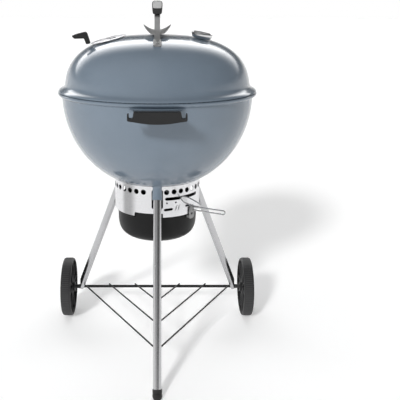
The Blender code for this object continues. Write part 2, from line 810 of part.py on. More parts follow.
def make_blade(pivot, number):
    """A strip that follows the bowl's inside, cupped along its length."""
    data = bmesh.new()
    bmesh.ops.create_grid(data, x_segments=2, y_segments=6, size=0.5)
    start = 0.0170 + GAP * 2
    for vert in data.verts:
        radius = start + (vert.co.y + 0.5) * (BLADE_REACH - start)
        half = BLADE_WIDTH / 2 * (0.75 + 0.25 * radius / BLADE_REACH)
        across = vert.co.x * 2 * half
        vert.co = (across, -radius, bowl_height(math.hypot(radius, across)) + BLADE_LIFT)
    mesh = bpy.data.meshes.new("blade")
    data.to_mesh(mesh)
    data.free()
    blade = place(bpy.data.objects.new(f"sweeper_blade_{number + 1}", mesh), STRAP_STEEL)
    solidify = blade.modifiers.new("wall", "SOLIDIFY")
    solidify.thickness = BLADE_THICKNESS
    solidify.offset = 1
    return hang(blade, pivot, Matrix.Rotation(math.radians(number * 360 / BLADE_COUNT), 4, "Z"))


def make_sweeper_handle(pivot, level):
    """A flat loop of wire in an upright plane, which passes out through the ring's slot."""
    near = SHAFT_RADIUS + SWEEPER_WIRE + GAP
    upper = [(near, 0.0022), (RING_RADIUS, 0.0024), (0.148, 0.0070), (0.172, 0.0115)]
    upper += [(0.205, 0.0105), (0.226, 0.0085)]
    lower = [(0.226, -0.0020), (0.205, -0.0055), (0.172, -0.0083), (0.148, -0.0080)]
    lower += [(RING_RADIUS, -0.0024), (near, -0.0022)]
    tip = [(SWEEPER_REACH, 0.0055), (SWEEPER_REACH, 0.0015)]
    points = [around(SWEEPER_ANGLE, radius, level + up) for radius, up in upper + tip + lower]
    return hang(tube("sweeper_handle", points, SWEEPER_WIRE, ZINC_WIRE), pivot)


# ---- Grates -----------------------------------------------------------------------------------
def rods(name, lines, radius):
    """Straight four-sided rods in one mesh."""
    data = bmesh.new()
    for start, end in lines:
        start, end = Vector(start), Vector(end)
        bmesh.ops.create_cone(
            data,
            cap_ends=True,
            segments=4,
            radius1=radius,
            radius2=radius,
            depth=(end - start).length,
            matrix=axis_matrix((start + end) / 2, end - start),
        )
    return from_bmesh(name, data)


def chord(radius, x):
    return math.sqrt(max(radius**2 - x**2, 0.0))


def grate_outline(radius, left, right, level, count):
    """A closed path: the circle's arcs between two upright chords, or the whole circle."""
    if left <= -radius and right >= radius:
        return [around(angle, radius, level) for angle in np.linspace(0, 360, count, endpoint=False)]
    lines = []
    for sign in (-1, 1):
        first = math.asin(max(left / radius, -1.0))
        last = math.asin(min(right / radius, 1.0))
        turns = np.linspace(first, last, count)[::-sign]
        lines += [(radius * math.sin(t), sign * radius * math.cos(t), level) for t in turns]
    if right >= radius:
        lines.pop(count)
    if left <= -radius:
        lines.pop()
    return lines


def make_grate(name, radius, level, left, right, pitch, wire, bars):
    """A wire outline, rods along Y and two crossing bars below them, joined into one piece."""
    part_circle = right < radius or left > -radius
    path = grate_outline(radius, left, right, level, 12 if part_circle else 24)
    outline = as_mesh(tube(name, path, wire, GRATE_STEEL, cyclic=True))
    count = max(int((min(right, radius) - max(left, -radius)) / pitch), 1)
    steps = (np.arange(1, count) / count) * (right - left) + left
    steps = [x for x in steps if chord(radius, x) > 0.05]
    lines = [((x, -chord(radius, x), level), (x, chord(radius, x), level)) for x in steps]
    join(outline, rods(f"{name}_rods", lines, wire * 0.8))
    crossing = []
    for y in bars:
        low = max(left, -chord(radius, y))
        high = min(right, chord(radius, y))
        crossing.append(((low, y, level - wire * 1.1), (high, y, level - wire * 1.1)))
    join(outline, rods(f"{name}_bars", crossing, wire * 0.9))
    return outline


def make_grates():
    radius = bowl_inside(CHARCOAL_GRATE_LEVEL - CHARCOAL_GRATE_WIRE) - CHARCOAL_GRATE_WIRE - GAP
    make_grate(
        "charcoal_grate",
        radius,
        CHARCOAL_GRATE_LEVEL,
        -radius,
        radius,
        CHARCOAL_GRATE_PITCH,
        CHARCOAL_GRATE_WIRE,
        (-0.1, 0.1),
    )
    end = FLAP_HINGE - FLAP_HINGE_GAP
    make_grate("cooking_grate", GRATE_RADIUS, GRATE_LEVEL, -end, end, GRATE_PITCH, GRATE_WIRE, (-0.13, 0.13))
    for side, sign in (("right", 1), ("left", -1)):
        pivot = empty(f"flap_{side}_hinge", Matrix.Translation((sign * FLAP_HINGE, 0, GRATE_LEVEL)))
        near = FLAP_HINGE + FLAP_HINGE_GAP
        low, high = (near, GRATE_RADIUS) if sign > 0 else (-GRATE_RADIUS, -near)
        flap = make_grate(
            f"grate_flap_{side}", GRATE_RADIUS, GRATE_LEVEL, low, high, GRATE_PITCH, GRATE_WIRE, (-0.09, 0.09)
        )
        hang(flap, pivot, Matrix.Translation((-sign * FLAP_HINGE, 0, -GRATE_LEVEL)))


def make_grate_tabs():
    """Small shelves on the bowl's inside, which carry the cooking grate."""
    top = GRATE_LEVEL - GRATE_WIRE - GAP
    wall = bowl_inside(top - 0.003) - 3 * GAP
    for number, angle in enumerate(TAB_ANGLES):
        block(
            f"grate_tab_{number + 1}",
            (0.024, 0.018, 0.003),
            Matrix.Rotation(math.radians(angle), 4, "Z") @ Matrix.Translation((0, -wall + 0.0095, top - 0.0015)),
            ENAMEL,
        )


# ---- Bowl handles -----------------------------------------------------------------------------
def handle_outline(hooks):
    """The bar seen from the front, as (x, height): flat top, bowed bottom, and a hook at each end."""
    half = HANDLE_HALF_WIDTH
    right = [(half, HANDLE_TOP), (half + 0.0026, HANDLE_TOP - 0.0125)]
    if hooks:
        notch = HANDLE_TOP - 0.0155
        tip = HANDLE_TOP - 0.0050
        right += [
            (half + 0.0040, notch),
            (HOOK_HALF_WIDTH - 0.0050, notch),
            (HOOK_HALF_WIDTH - 0.0038, tip),
            (HOOK_HALF_WIDTH - 0.0006, tip),
            (HOOK_HALF_WIDTH, notch - 0.0050),
            (HOOK_HALF_WIDTH - 0.0020, notch - 0.0082),
        ]
    else:
        right += [(half + 0.0026, HANDLE_TOP - 0.0220)]
    right += [(half * 0.9, HANDLE_BOTTOM + 0.0042), (half * 0.5, HANDLE_BOTTOM + 0.0010)]
    left = [(-x, z) for x, z in reversed(right)]
    return right + [(0.0, HANDLE_BOTTOM)] + left


def make_bowl_handle(name, angle, hooks):
    turn = Matrix.Rotation(math.radians(angle), 4, "Z")
    upright = Matrix.Rotation(math.radians(90), 4, "X")
    bar = plate(
        f"{name}_handle",
        handle_outline(hooks),
        HANDLE_DEPTH,
        turn @ Matrix.Translation((0, -HANDLE_REACH + HANDLE_DEPTH / 2, 0)) @ upright,
        BLACK_NYLON,
        bevel=0.0012,
    )
    back = HANDLE_REACH - HANDLE_DEPTH - GAP
    wall = BOWL_WALL_RADIUS + 0.0012
    at_wall = chord(wall, BRACKET_HALF_WIDTH)
    wall_points = [
        (x, -chord(wall, x)) for x in np.linspace(-BRACKET_HALF_WIDTH, BRACKET_HALF_WIDTH, 9)
    ]
    outline = wall_points + [
        (BRACKET_HALF_WIDTH, -at_wall - 0.012),
        (BRACKET_FRONT_HALF_WIDTH, -back),
        (-BRACKET_FRONT_HALF_WIDTH, -back),
        (-BRACKET_HALF_WIDTH, -at_wall - 0.012),
    ]
    plate(
        f"{name}_handle_bracket",
        outline,
        BRACKET_THICKNESS,
        turn @ Matrix.Translation((0, 0, BRACKET_LEVEL)),
        ENAMEL,
    )
    return bar


# ---- Lid --------------------------------------------------------------------------------------
def lid_frame(x, y):
    """A frame on the lid's outside, with +Z along the outward normal and +X away from the crown."""
    step = 0.0005
    across = (lid_height(math.hypot(x + step, y)) - lid_height(math.hypot(x - step, y))) / (2 * step)
    along = (lid_height(math.hypot(x, y + step)) - lid_height(math.hypot(x, y - step))) / (2 * step)
    normal = Vector((-across, -along, 1)).normalized()
    outward = Vector((math.copysign(1, x), 0, 0))
    outward = (outward - normal * outward.dot(normal)).normalized()
    side = normal.cross(outward)
    turn = Matrix((outward, side, normal)).transposed().to_4x4()
    return Matrix.Translation((x, y, lid_height(math.hypot(x, y)))) @ turn


def through_lid(name, frame, radius, offset=(0, 0)):
    return cylinder(name, radius, 0.05, frame @ Matrix.Translation((*offset, -0.03)), steps=12)


def ring_of(count, radius, start=0.0):
    turns = np.radians(np.arange(count) * 360 / count + start)
    return [(radius * math.cos(t), radius * math.sin(t)) for t in turns]


def make_lid(pivot):
    lid = hang(turned("lid_shell", lid_profile(), ENAMEL, wall=SHELL_WALL), pivot)
    damper_frame = lid_frame(DAMPER_X, DAMPER_Y)
    gauge_frame = lid_frame(GAUGE_X, GAUGE_Y)
    for number, offset in enumerate(ring_of(3, VENT_HOLE_CIRCLE)):
        cut(lid, through_lid(f"lid_vent_{number}", damper_frame, VENT_HOLE_RADIUS, offset))
    cut(lid, through_lid("lid_rivet_hole", damper_frame, 0.0035))
    cut(lid, through_lid("lid_probe_hole", gauge_frame, PROBE_RADIUS + 0.001))
    make_lid_handle(pivot)
    make_damper(damper_frame, pivot)
    make_gauge(gauge_frame, pivot)


def make_damper(frame, lid_pivot):
    """A dished disc over the lid's three vents, turned by a bent tab about its rivet."""
    pivot = empty("lid_damper_axis", frame)
    top = DAMPER_LIFT + DAMPER_THICKNESS
    edge = top - DAMPER_DISH
    dish = [
        (0.0040, top),
        (DAMPER_RADIUS * 0.55, top - DAMPER_DISH * 0.3),
        (DAMPER_RADIUS, edge),
        (DAMPER_RADIUS, edge - DAMPER_THICKNESS),
        (DAMPER_RADIUS * 0.55, top - DAMPER_DISH * 0.3 - DAMPER_THICKNESS),
        (0.0040, DAMPER_LIFT),
    ]
    disc = turned("lid_damper", dish, ALUMINIUM, closed=True, steps=36)
    for number, offset in enumerate(ring_of(3, VENT_HOLE_CIRCLE)):
        hole = cylinder(
            f"damper_hole_{number}", VENT_HOLE_RADIUS, 0.04, frame @ Matrix.Translation((*offset, -0.02)), steps=12
        )
        cut(disc, hole)
    hang(disc, pivot)
    root = DAMPER_RADIUS + GAP
    outline = [
        (root, edge - 0.0010),
        (root + 0.0065, edge - 0.0010),
        (root + 0.0140, edge + TAB_HEIGHT - 0.0140),
        (root + TAB_ARM - 0.0080, edge + TAB_HEIGHT - 0.0105),
        (root + TAB_ARM, edge + TAB_HEIGHT - 0.0020),
        (root + 0.0095, edge + TAB_HEIGHT),
        (root + 0.0060, edge + TAB_HEIGHT - 0.0020),
    ]
    upright = Matrix.Rotation(math.radians(90), 4, "X")
    tab = plate("lid_damper_tab", outline, TAB_WIDTH, Matrix.Identity(4), BLACK_NYLON, bevel=0.0010)
    hang(tab, pivot, upright)
    rivet = cylinder(
        "lid_damper_rivet", 0.0030, 0.0090 + top, frame @ Matrix.Translation((0, 0, -0.0080)), ALUMINIUM, steps=16
    )
    head = cylinder(
        "rivet_head", 0.0075, 0.0022, frame @ Matrix.Translation((0, 0, top + GAP)), steps=16, end_radius=0.0045
    )
    join(rivet, head)


def make_gauge(frame, lid_pivot):
    """A round thermometer: case, dial, pointer, lens and a probe that passes through the lid."""
    top = GAUGE_HEIGHT + GAP
    floor = top - GAUGE_RECESS
    inside = GAUGE_RADIUS - GAUGE_WALL
    bore = PROBE_RADIUS + GAP
    case = [
        (inside + 0.0008, top),
        (GAUGE_RADIUS - 0.0008, top),
        (GAUGE_RADIUS, top - 0.0020),
        (GAUGE_RADIUS, 0.0060),
        (GAUGE_RADIUS * 0.78, 0.0008),
        (bore, 0.0008),
        (bore, floor - 0.0014),
        (inside, floor - 0.0014),
    ]
    at_gauge = frame
    turned("thermometer_case", case, CHROME, closed=True, steps=36).matrix_world = at_gauge
    dial = turned(
        "thermometer_dial",
        [(0.0015, floor), (inside - GAP, floor), (inside - GAP, floor - 0.0010), (0.0015, floor - 0.0010)],
        DIAL_WHITE,
        closed=True,
        steps=36,
    )
    dial.matrix_world = at_gauge
    cylinder(
        "thermometer_probe",
        PROBE_RADIUS,
        PROBE_LENGTH + floor - 0.0014,
        frame @ Matrix.Translation((0, 0, -PROBE_LENGTH)),
        GRATE_STEEL,
        steps=12,
    )
    lens = [(0.0, top - 0.0020), (inside - GAP, top - 0.0020), (inside - GAP, top - 0.0035), (0.0, top - 0.0035)]
    turned("thermometer_lens", lens, LENS, steps=36).matrix_world = at_gauge
    pivot = empty("thermometer_pointer_axis", frame)
    pointer = block(
        "thermometer_pointer",
        (0.0360, 0.0020, 0.0008),
        Matrix.Identity(4),
        BLACK_NYLON,
    )
    hang(pointer, pivot, Matrix.Translation((0, 0, floor + 0.0016)))


def strap_path():
    """The strap's middle line from a foot on the lid up to the grip, as (y, height)."""
    lift = STRAP_THICKNESS / 2 + 0.0008
    foot = [(y, lid_height(y) + lift) for y in np.linspace(STRAP_FOOT_FAR, STRAP_FOOT_NEAR, 4)]
    bend = [(STRAP_STEM_Y + 0.010, lid_height(STRAP_STEM_Y) + 0.0070)]
    stem = [(STRAP_STEM_Y, lid_height(STRAP_STEM_Y) + 0.0170), (STRAP_STEM_Y, GRIP_BOTTOM - 0.0060)]
    top = [(STRAP_STEM_Y - 0.010, GRIP_BOTTOM - GAP - STRAP_THICKNESS / 2)]
    return foot + bend + stem + top


def make_strap():
    """A flat steel band: both feet, both stems and the run under the grip."""
    data = bmesh.new()
    front = strap_path()
    path = front + [(-y, z) for y, z in reversed(front)]
    rows = []
    for y, z in path:
        wide = STRAP_FOOT_WIDTH if abs(y) > STRAP_FOOT_NEAR - 0.001 else STRAP_WIDTH
        rows.append([data.verts.new((side * wide / 2, -y, z)) for side in (-1, 1)])
    for first, second in zip(rows, rows[1:]):
        data.faces.new((first[0], first[1], second[1], second[0]))
    strap = from_bmesh("lid_handle_strap", data, STRAP_STEEL)
    solidify = strap.modifiers.new("wall", "SOLIDIFY")
    solidify.thickness = STRAP_THICKNESS
    solidify.offset = 0
    solidify.use_even_offset = True
    return strap


def make_lid_handle(pivot):
    make_strap()
    length = 2 * GRIP_HALF_LENGTH - 2 * GRIP_CAP - 2 * GAP
    height = GRIP_TOP - GRIP_BOTTOM
    middle = (GRIP_TOP + GRIP_BOTTOM) / 2
    block(
        "lid_handle_grip",
        (2 * GRIP_HALF_WIDTH, length, height),
        Matrix.Translation((0, 0, middle)),
        BLACK_NYLON,
        bevel=0.006,
    )
    for side, sign in (("front", -1), ("rear", 1)):
        block(
            f"lid_handle_cap_{side}",
            (1.7 * GRIP_HALF_WIDTH, GRIP_CAP, height * 0.42),
            Matrix.Translation((0, sign * (GRIP_HALF_LENGTH - GRIP_CAP / 2), GRIP_TOP - 0.004 - height * 0.21)),
            CAP_GREY,
            bevel=0.0008,
        )
    data = bmesh.new()
    bmesh.ops.create_grid(data, x_segments=6, y_segments=8, size=1.0)
    for vert in data.verts:
        y = vert.co.y * SHIELD_HALF_LENGTH
        half = SHIELD_HALF_WIDTH * math.sqrt(1 - (vert.co.y * 0.88) ** 2)
        x = vert.co.x * half
        vert.co = (x, y, SHIELD_LEVEL + SHIELD_CUP * x * x - SHIELD_ARCH * y * y)
    shield = from_bmesh("lid_heat_shield", data, STRAP_STEEL)
    solidify = shield.modifiers.new("wall", "SOLIDIFY")
    solidify.thickness = SHIELD_THICKNESS
    solidify.offset = 0


# ---- Assembly ---------------------------------------------------------------------------------
def main():
    clear_scene()
    envelope = bowl_envelope("bowl_envelope")
    make_bowl()
    make_legs(envelope)
    make_axle()
    make_wheel("right", 1)
    make_wheel("left", -1)
    make_rack()
    make_ash_ring(envelope)
    make_ash_pot(empty("ash_pot_axis", Matrix.Identity(4)))
    make_sweeper(empty("sweeper_axis", Matrix.Identity(4)))
    make_grates()
    make_grate_tabs()
    make_bowl_handle("front", 0, hooks=True)
    make_bowl_handle("rear", 180, hooks=False)
    make_lid(empty("lid_axis", Matrix.Identity(4)))


main()
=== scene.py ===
import json
import math

import bmesh
import bpy
import numpy as np
from mathutils import Matrix, Vector


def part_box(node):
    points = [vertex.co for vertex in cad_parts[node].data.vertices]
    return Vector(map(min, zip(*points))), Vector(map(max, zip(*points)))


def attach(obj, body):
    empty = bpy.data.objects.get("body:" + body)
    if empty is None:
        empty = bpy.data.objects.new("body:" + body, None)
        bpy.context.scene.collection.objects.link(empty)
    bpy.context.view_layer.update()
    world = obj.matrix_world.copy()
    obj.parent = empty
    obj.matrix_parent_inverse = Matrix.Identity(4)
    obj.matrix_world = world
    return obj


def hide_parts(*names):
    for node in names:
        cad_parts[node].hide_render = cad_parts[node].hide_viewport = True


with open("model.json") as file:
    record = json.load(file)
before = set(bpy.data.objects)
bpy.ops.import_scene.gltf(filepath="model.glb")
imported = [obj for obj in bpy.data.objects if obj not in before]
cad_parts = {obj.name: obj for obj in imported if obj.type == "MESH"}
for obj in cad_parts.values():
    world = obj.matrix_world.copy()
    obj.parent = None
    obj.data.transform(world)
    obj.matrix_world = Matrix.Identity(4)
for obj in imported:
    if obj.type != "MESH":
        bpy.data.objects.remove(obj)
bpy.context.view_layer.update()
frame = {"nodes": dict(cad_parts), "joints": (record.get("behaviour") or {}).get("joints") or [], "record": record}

# A kettle charcoal grill. Metres, +Z up, front towards -Y, floor at z = 0.
joints = {joint["name"]: joint for joint in frame["joints"]}


def gridFaces(rows, columns, closeRows, closeColumns):
    # quads between neighbours of a rows x columns grid, wrapping round where it is closed
    row, column = np.meshgrid(np.arange(rows if closeRows else rows - 1),
                              np.arange(columns if closeColumns else columns - 1), indexing="ij")
    nextRow, nextColumn = (row + 1) % rows, (column + 1) % columns
    corners = [row * columns + column, row * columns + nextColumn,
               nextRow * columns + nextColumn, nextRow * columns + column]
    return np.stack(corners, -1).reshape(-1, 4)


def body(name, grid, material, closeRows=False, closeColumns=True, caps=True, smooth=50, frame4=None):
    # a closed skin over a rows x columns grid of points; the first and last rows are capped
    grid = np.asarray(grid, float)
    rows, columns = grid.shape[:2]
    faces = gridFaces(rows, columns, closeRows, closeColumns).tolist()
    if caps and not closeRows:
        faces += [list(range(columns)), list(range((rows - 1) * columns, rows * columns))]
    points = grid.reshape(-1, 3)
    if frame4 is not None:
        turn = np.array(frame4)
        points = points @ turn[:3, :3].T + turn[:3, 3]
    return fromFaces(name, points, faces, material, smooth)


def fromFaces(name, points, faces, material, smooth=50):
    # doubles merged, then the whole skin turned to face outwards by the sign of its volume
    mesh = bpy.data.meshes.new(name)
    mesh.from_pydata(np.asarray(points).tolist(), [], faces)
    work = bmesh.new()
    work.from_mesh(mesh)
    bmesh.ops.remove_doubles(work, verts=work.verts, dist=1e-6)
    bmesh.ops.dissolve_degenerate(work, edges=work.edges, dist=1e-7)
    bmesh.ops.recalc_face_normals(work, faces=work.faces)
    if work.calc_volume(signed=True) < 0:
        bmesh.ops.reverse_faces(work, faces=work.faces)
    work.to_mesh(mesh)
    work.free()
    piece = bpy.data.objects.new(name, mesh)
    bpy.context.scene.collection.objects.link(piece)
    mesh.materials.append(material)
    softEdges(mesh, smooth)
    return piece


def softEdges(mesh, angle):
    mesh.shade_smooth()
    mesh.set_sharp_from_angle(angle=math.radians(angle))


def merge(name, pieces):
    # several skins of one material as one object
    work = bmesh.new()
    for piece in pieces:
        work.from_mesh(piece.data)
    mesh = pieces[0].data
    work.to_mesh(mesh)
    work.free()
    for piece in pieces[1:]:
        bpy.data.objects.remove(piece)
    pieces[0].name = name
    return pieces[0]


def carve(piece, cutters, operation="DIFFERENCE", smooth=35):
    # the piece less every cutter, or with every one joined on, as a finished mesh
    material = piece.data.materials[0]
    for cutter in cutters:
        change = piece.modifiers.new("carve", "BOOLEAN")
        change.operation = operation
        change.solver = "EXACT"
        change.object = cutter
    bpy.context.view_layer.update()
    graph = bpy.context.evaluated_depsgraph_get()
    mesh = bpy.data.meshes.new_from_object(piece.evaluated_get(graph))
    piece.modifiers.clear()
    piece.data = mesh
    for cutter in cutters:
        bpy.data.objects.remove(cutter)
    mesh.materials.clear()
    mesh.materials.append(material)
    mesh.polygons.foreach_set("material_index", np.zeros(len(mesh.polygons), int))
    softEdges(mesh, smooth)
    return piece


def turned(name, profile, material, steps=96, frame4=None, smooth=50, closed=True):
    # (radius, height) pairs swept round Z: x = r cos a, y = r sin a
    profile = np.asarray(profile, float)
    angle = np.arange(steps) * 2 * np.pi / steps
    grid = np.stack([profile[:, :1] * np.cos(angle), profile[:, :1] * np.sin(angle),
                     np.repeat(profile[:, 1:], steps, 1)], -1)
    return body(name, grid, material, closeRows=closed, caps=False, smooth=smooth, frame4=frame4)


def curveThrough(points, count):
    # a Catmull-Rom curve through the points, in even steps of its length
    points = np.asarray(points, float)
    ends = np.vstack([2 * points[0] - points[1], points, 2 * points[-1] - points[-2]])
    t = np.linspace(0, 1, 24, endpoint=False)[:, None, None]
    a, b, c, d = ends[:-3], ends[1:-2], ends[2:-1], ends[3:]
    curve = 0.5 * (2 * b + (c - a) * t + (2 * a - 5 * b + 4 * c - d) * t**2 + (3 * b - a - 3 * c + d) * t**3)
    curve = np.vstack([curve.transpose(1, 0, 2).reshape(-1, points.shape[1]), points[-1:]])
    return evenly(curve, count)


def evenly(path, count):
    run = np.concatenate([[0], np.cumsum(np.linalg.norm(np.diff(path, axis=0), axis=1))])
    at = np.linspace(0, run[-1], count)
    return np.stack([np.interp(at, run, path[:, k]) for k in range(path.shape[1])], -1)


def rounded(points, radius, steps=6, closed=False):
    # each corner of a path becomes a short parabola that starts a radius before it
    points = np.asarray(points, float)
    before = points - np.roll(points, 1, 0)
    after = np.roll(points, -1, 0) - points
    first, second = np.linalg.norm(before, axis=1), np.linalg.norm(after, axis=1)
    reach = np.minimum(np.minimum(first, second) * 0.49, radius)
    start = points - before / np.maximum(first, 1e-9)[:, None] * reach[:, None]
    end = points + after / np.maximum(second, 1e-9)[:, None] * reach[:, None]
    t = np.linspace(0, 1, steps)[None, :, None]
    bend = start[:, None] * (1 - t) ** 2 + points[:, None] * 2 * t * (1 - t) + end[:, None] * t**2
    if closed:
        return bend.reshape(-1, points.shape[1])
    return np.vstack([points[:1], bend[1:-1].reshape(-1, points.shape[1]), points[-1:]])


def carried(name, path, profile, across, material, closed=False, smooth=50, endScale=None):
    # a profile of (sideways, up) pairs carried along a path; sideways is the given direction made
    # square to it
    path = np.asarray(path, float)
    along = np.roll(path, -1, 0) - np.roll(path, 1, 0) if closed else np.gradient(path, axis=0)
    along /= np.linalg.norm(along, axis=1)[:, None]
    across = np.broadcast_to(np.asarray(across, float), path.shape)
    across = across - along * (across * along).sum(1)[:, None]
    across /= np.linalg.norm(across, axis=1)[:, None]
    up = np.cross(across, along)
    profile = np.asarray(profile, float)
    scale = np.ones(len(path)) if endScale is None else endScale
    grid = path[:, None] + scale[
        :, None, None] * (profile[None, :, :1] * across[:, None] + profile[None, :, 1:] * up[:, None])
    return body(name, grid, material, closeRows=closed, smooth=smooth)


def circle(radius, sides):
    turn = np.arange(sides) * 2 * np.pi / sides
    return np.stack([radius * np.cos(turn), radius * np.sin(turn)], -1)


def wire(name, path, radius, across, material, closed=False, sides=12):
    # round wire whose cut ends are eased over the last fifth of its radius
    path = np.asarray(path, float)
    if closed:
        return carried(name, path, circle(radius, sides), across, material, closed=True)
    ease = radius * 0.35
    first, last = path[0] - path[1], path[-1] - path[-2]
    first, last = first / np.linalg.norm(first) * ease, last / np.linalg.norm(last) * ease
    path = np.vstack([path[:1], path[:1] - first, path[1:-1], path[-1:] - last, path[-1:]])
    scale = np.ones(len(path))
    scale[0] = scale[-1] = 0.7
    return carried(name, path, circle(radius, sides), across, material, endScale=scale)


def slab(name, outline, depth, edge, material, frame4, steps=3, smooth=40):
    # a flat outline with its rim eased: each layer is the outline moved inwards by edge (1 - sin t),
    # and one more ring lies flat inside each cap, which keeps the caps' shading flat
    outline = np.asarray(outline, float)
    area = 0.5 * np.sum(outline[:, 0] * np.roll(outline[:, 1],
                                                -1) - np.roll(outline[:, 0], -1) * outline[:, 1])
    outline = outline if area > 0 else outline[::-1]
    run = np.roll(outline, -1, 0) - np.roll(outline, 1, 0)
    inward = np.stack([-run[:, 1], run[:, 0]], -1) / np.linalg.norm(run, axis=1)[:, None]
    t = np.linspace(0, np.pi / 2, steps)
    shrink = np.concatenate([[1], 1 - np.sin(t), (1 - np.sin(t))[::-1], [1]]) * edge
    shrink[[0, -1]] += 0.0001
    rise = np.concatenate([[0], 1 - np.cos(t)]) * edge
    level = np.concatenate([rise - depth / 2, (depth / 2 - rise)[::-1]])
    flat = outline[None] + inward[None] * shrink[:, None, None]
    grid = np.concatenate([flat, np.broadcast_to(level[:, None, None], flat.shape[:2] + (1,))], -1)
    return body(name, grid, material, smooth=smooth, frame4=frame4)


def thick(profile, wall):
    # an open profile and the same one moved inwards along its normals, joined at both ends
    profile = np.asarray(profile, float)
    run = np.gradient(profile, axis=0)
    inward = np.stack([run[:, 1], -run[:, 0]], -1) / np.linalg.norm(run, axis=1)[:, None]
    inner = profile + inward * wall
    inner[:, 0] = np.where(profile[:, 0] < 1e-6, 0, inner[:, 0])
    return np.vstack([profile, inner[::-1]])


def move(x=0.0, y=0.0, z=0.0):
    return Matrix.Translation((x, y, z))


def spin(angle, axis="Z"):
    return Matrix.Rotation(math.radians(angle), 4, axis)


def along(origin, direction):
    # a frame whose +Z runs along the direction
    return Matrix.Translation(origin) @ Vector(direction).to_track_quat("Z", "Y").to_matrix().to_4x4()


def around(angle, radius, height):
    # degrees round from the front, towards +X
    turn = np.radians(angle)
    return np.stack(np.broadcast_arrays(radius * np.sin(turn), -radius * np.cos(turn), height), -1)


def ready(piece, bodyName, slotName, *nodes):
    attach(piece, bodyName)
    if nodes:
        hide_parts(*nodes)
    return piece


class Value:
    # a socket that takes part in arithmetic: each operation adds its Math node
    def __init__(self, finish, socket):
        self.finish, self.socket = finish, socket

    def math(self, operation, first, second=None, third=None):
        values = [value for value in (first, second, third) if value is not None]
        return self.finish.node("ShaderNodeMath", {"operation": operation}, values)

    def __add__(self, other): return self.math("ADD", self, other)
    def __radd__(self, other): return self.math("ADD", other, self)
    def __sub__(self, other): return self.math("SUBTRACT", self, other)
    def __rsub__(self, other): return self.math("SUBTRACT", other, self)
    def __mul__(self, other): return self.math("MULTIPLY", self, other)
    def __rmul__(self, other): return self.math("MULTIPLY", other, self)
    def __truediv__(self, other): return self.math("DIVIDE", self, other)
    def __pow__(self, other): return self.math("POWER", self, other)
    def __gt__(self, other): return self.math("GREATER_THAN", self, other)
    def __lt__(self, other): return self.math("LESS_THAN", self, other)
    def sine(self): return self.math("SINE", self)
    def size(self): return self.math("ABSOLUTE", self)
    def ramp(self, low, high): return self.finish.node(
        "ShaderNodeMapRange", {"interpolation_type": "SMOOTHSTEP"}, {0: self, 1: low, 2: high})


class Finish:
    # a material whose Principled shader is fed by expressions
    def __init__(self, name, **sockets):
        self.material = bpy.data.materials.new(name)
        self.material.use_nodes = True
        self.tree = self.material.node_tree
        self.shader = self.tree.nodes["Principled BSDF"]
        self.place = Value(self, self.tree.nodes.new("ShaderNodeTexCoord").outputs["Object"])
        self.set(**sockets)

    def set(self, **sockets):
        for key, value in sockets.items():
            socket = self.shader.inputs[key.replace("_", " ")]
            if isinstance(value, Value):
                self.tree.links.new(value.socket, socket)
            else:
                socket.default_value = value

    def node(self, kind, settings=None, inputs=None, output=0):
        made = self.tree.nodes.new(kind)
        for key, value in (settings or {}).items():
            setattr(made, key, value)
        pairs = inputs.items() if isinstance(inputs, dict) else enumerate(inputs or [])
        for key, value in pairs:
            if isinstance(value, Value):
                self.tree.links.new(value.socket, made.inputs[key])
            else:
                made.inputs[key].default_value = value
        return Value(self, made.outputs[output])

    def noise(self, scale, detail=4.0, roughness=0.5, stretch=(1, 1, 1)):
        place = self.node("ShaderNodeMapping", None, {0: self.place, 3: stretch})
        return self.node("ShaderNodeTexNoise", None,
                         {"Vector": place, "Scale": scale, "Detail": detail, "Roughness": roughness})

    def cells(self, scale, feature="F1"):
        return self.node("ShaderNodeTexVoronoi", {"feature": feature},
                         {"Vector": self.place, "Scale": scale})

    def mix(self, amount, first, second):
        return self.node("ShaderNodeMix", {"data_type": "RGBA"}, {0: amount, 6: first, 7: second}, 2)

    def split(self):
        parts = self.node("ShaderNodeSeparateXYZ", None, [self.place])
        node = parts.socket.node
        return [Value(self, node.outputs[k]) for k in range(3)]

    def bump(self, height, strength, distance):
        return self.node("ShaderNodeBump", None,
                         {"Height": height, "Strength": strength, "Distance": distance})

    def edges(self):
        # bright where the surface turns outwards, for wear along edges
        return self.node("ShaderNodeNewGeometry", None, None, 7)


class Surround(Finish):
    # the light all round the room: the same expressions, read by direction instead of place
    def __init__(self, name):
        self.world = bpy.data.worlds.new(name)
        self.world.use_nodes = True
        self.tree = self.world.node_tree
        self.shader = self.tree.nodes["Background"]
        self.place = Value(self, self.tree.nodes.new("ShaderNodeTexCoord").outputs["Generated"])


def grey(level, blue=0.0):
    return (level, level, level * (1 + blue), 1)


def enamelFinish(name, colour):
    finish = Finish(name, Roughness=0.16, Coat_Weight=0.30, Coat_Roughness=0.06, Specular_IOR_Level=0.50)
    cloud = finish.noise(9, 3)
    speck = finish.noise(900, 2).ramp(0.60, 0.74)
    peel = finish.noise(170, 3)
    dark = tuple(channel * 0.90 for channel in colour) + (1,)
    light = tuple(channel * 1.10 for channel in colour) + (1,)
    base = finish.mix(cloud, dark, light)
    base = finish.mix(speck * 0.16, base, (0.42, 0.46, 0.50, 1))
    finish.set(Base_Color=base, Roughness=0.14 + 0.07 * cloud + 0.05 * speck)
    finish.set(Normal=finish.bump(peel, 0.10, 0.0006))
    return finish.material


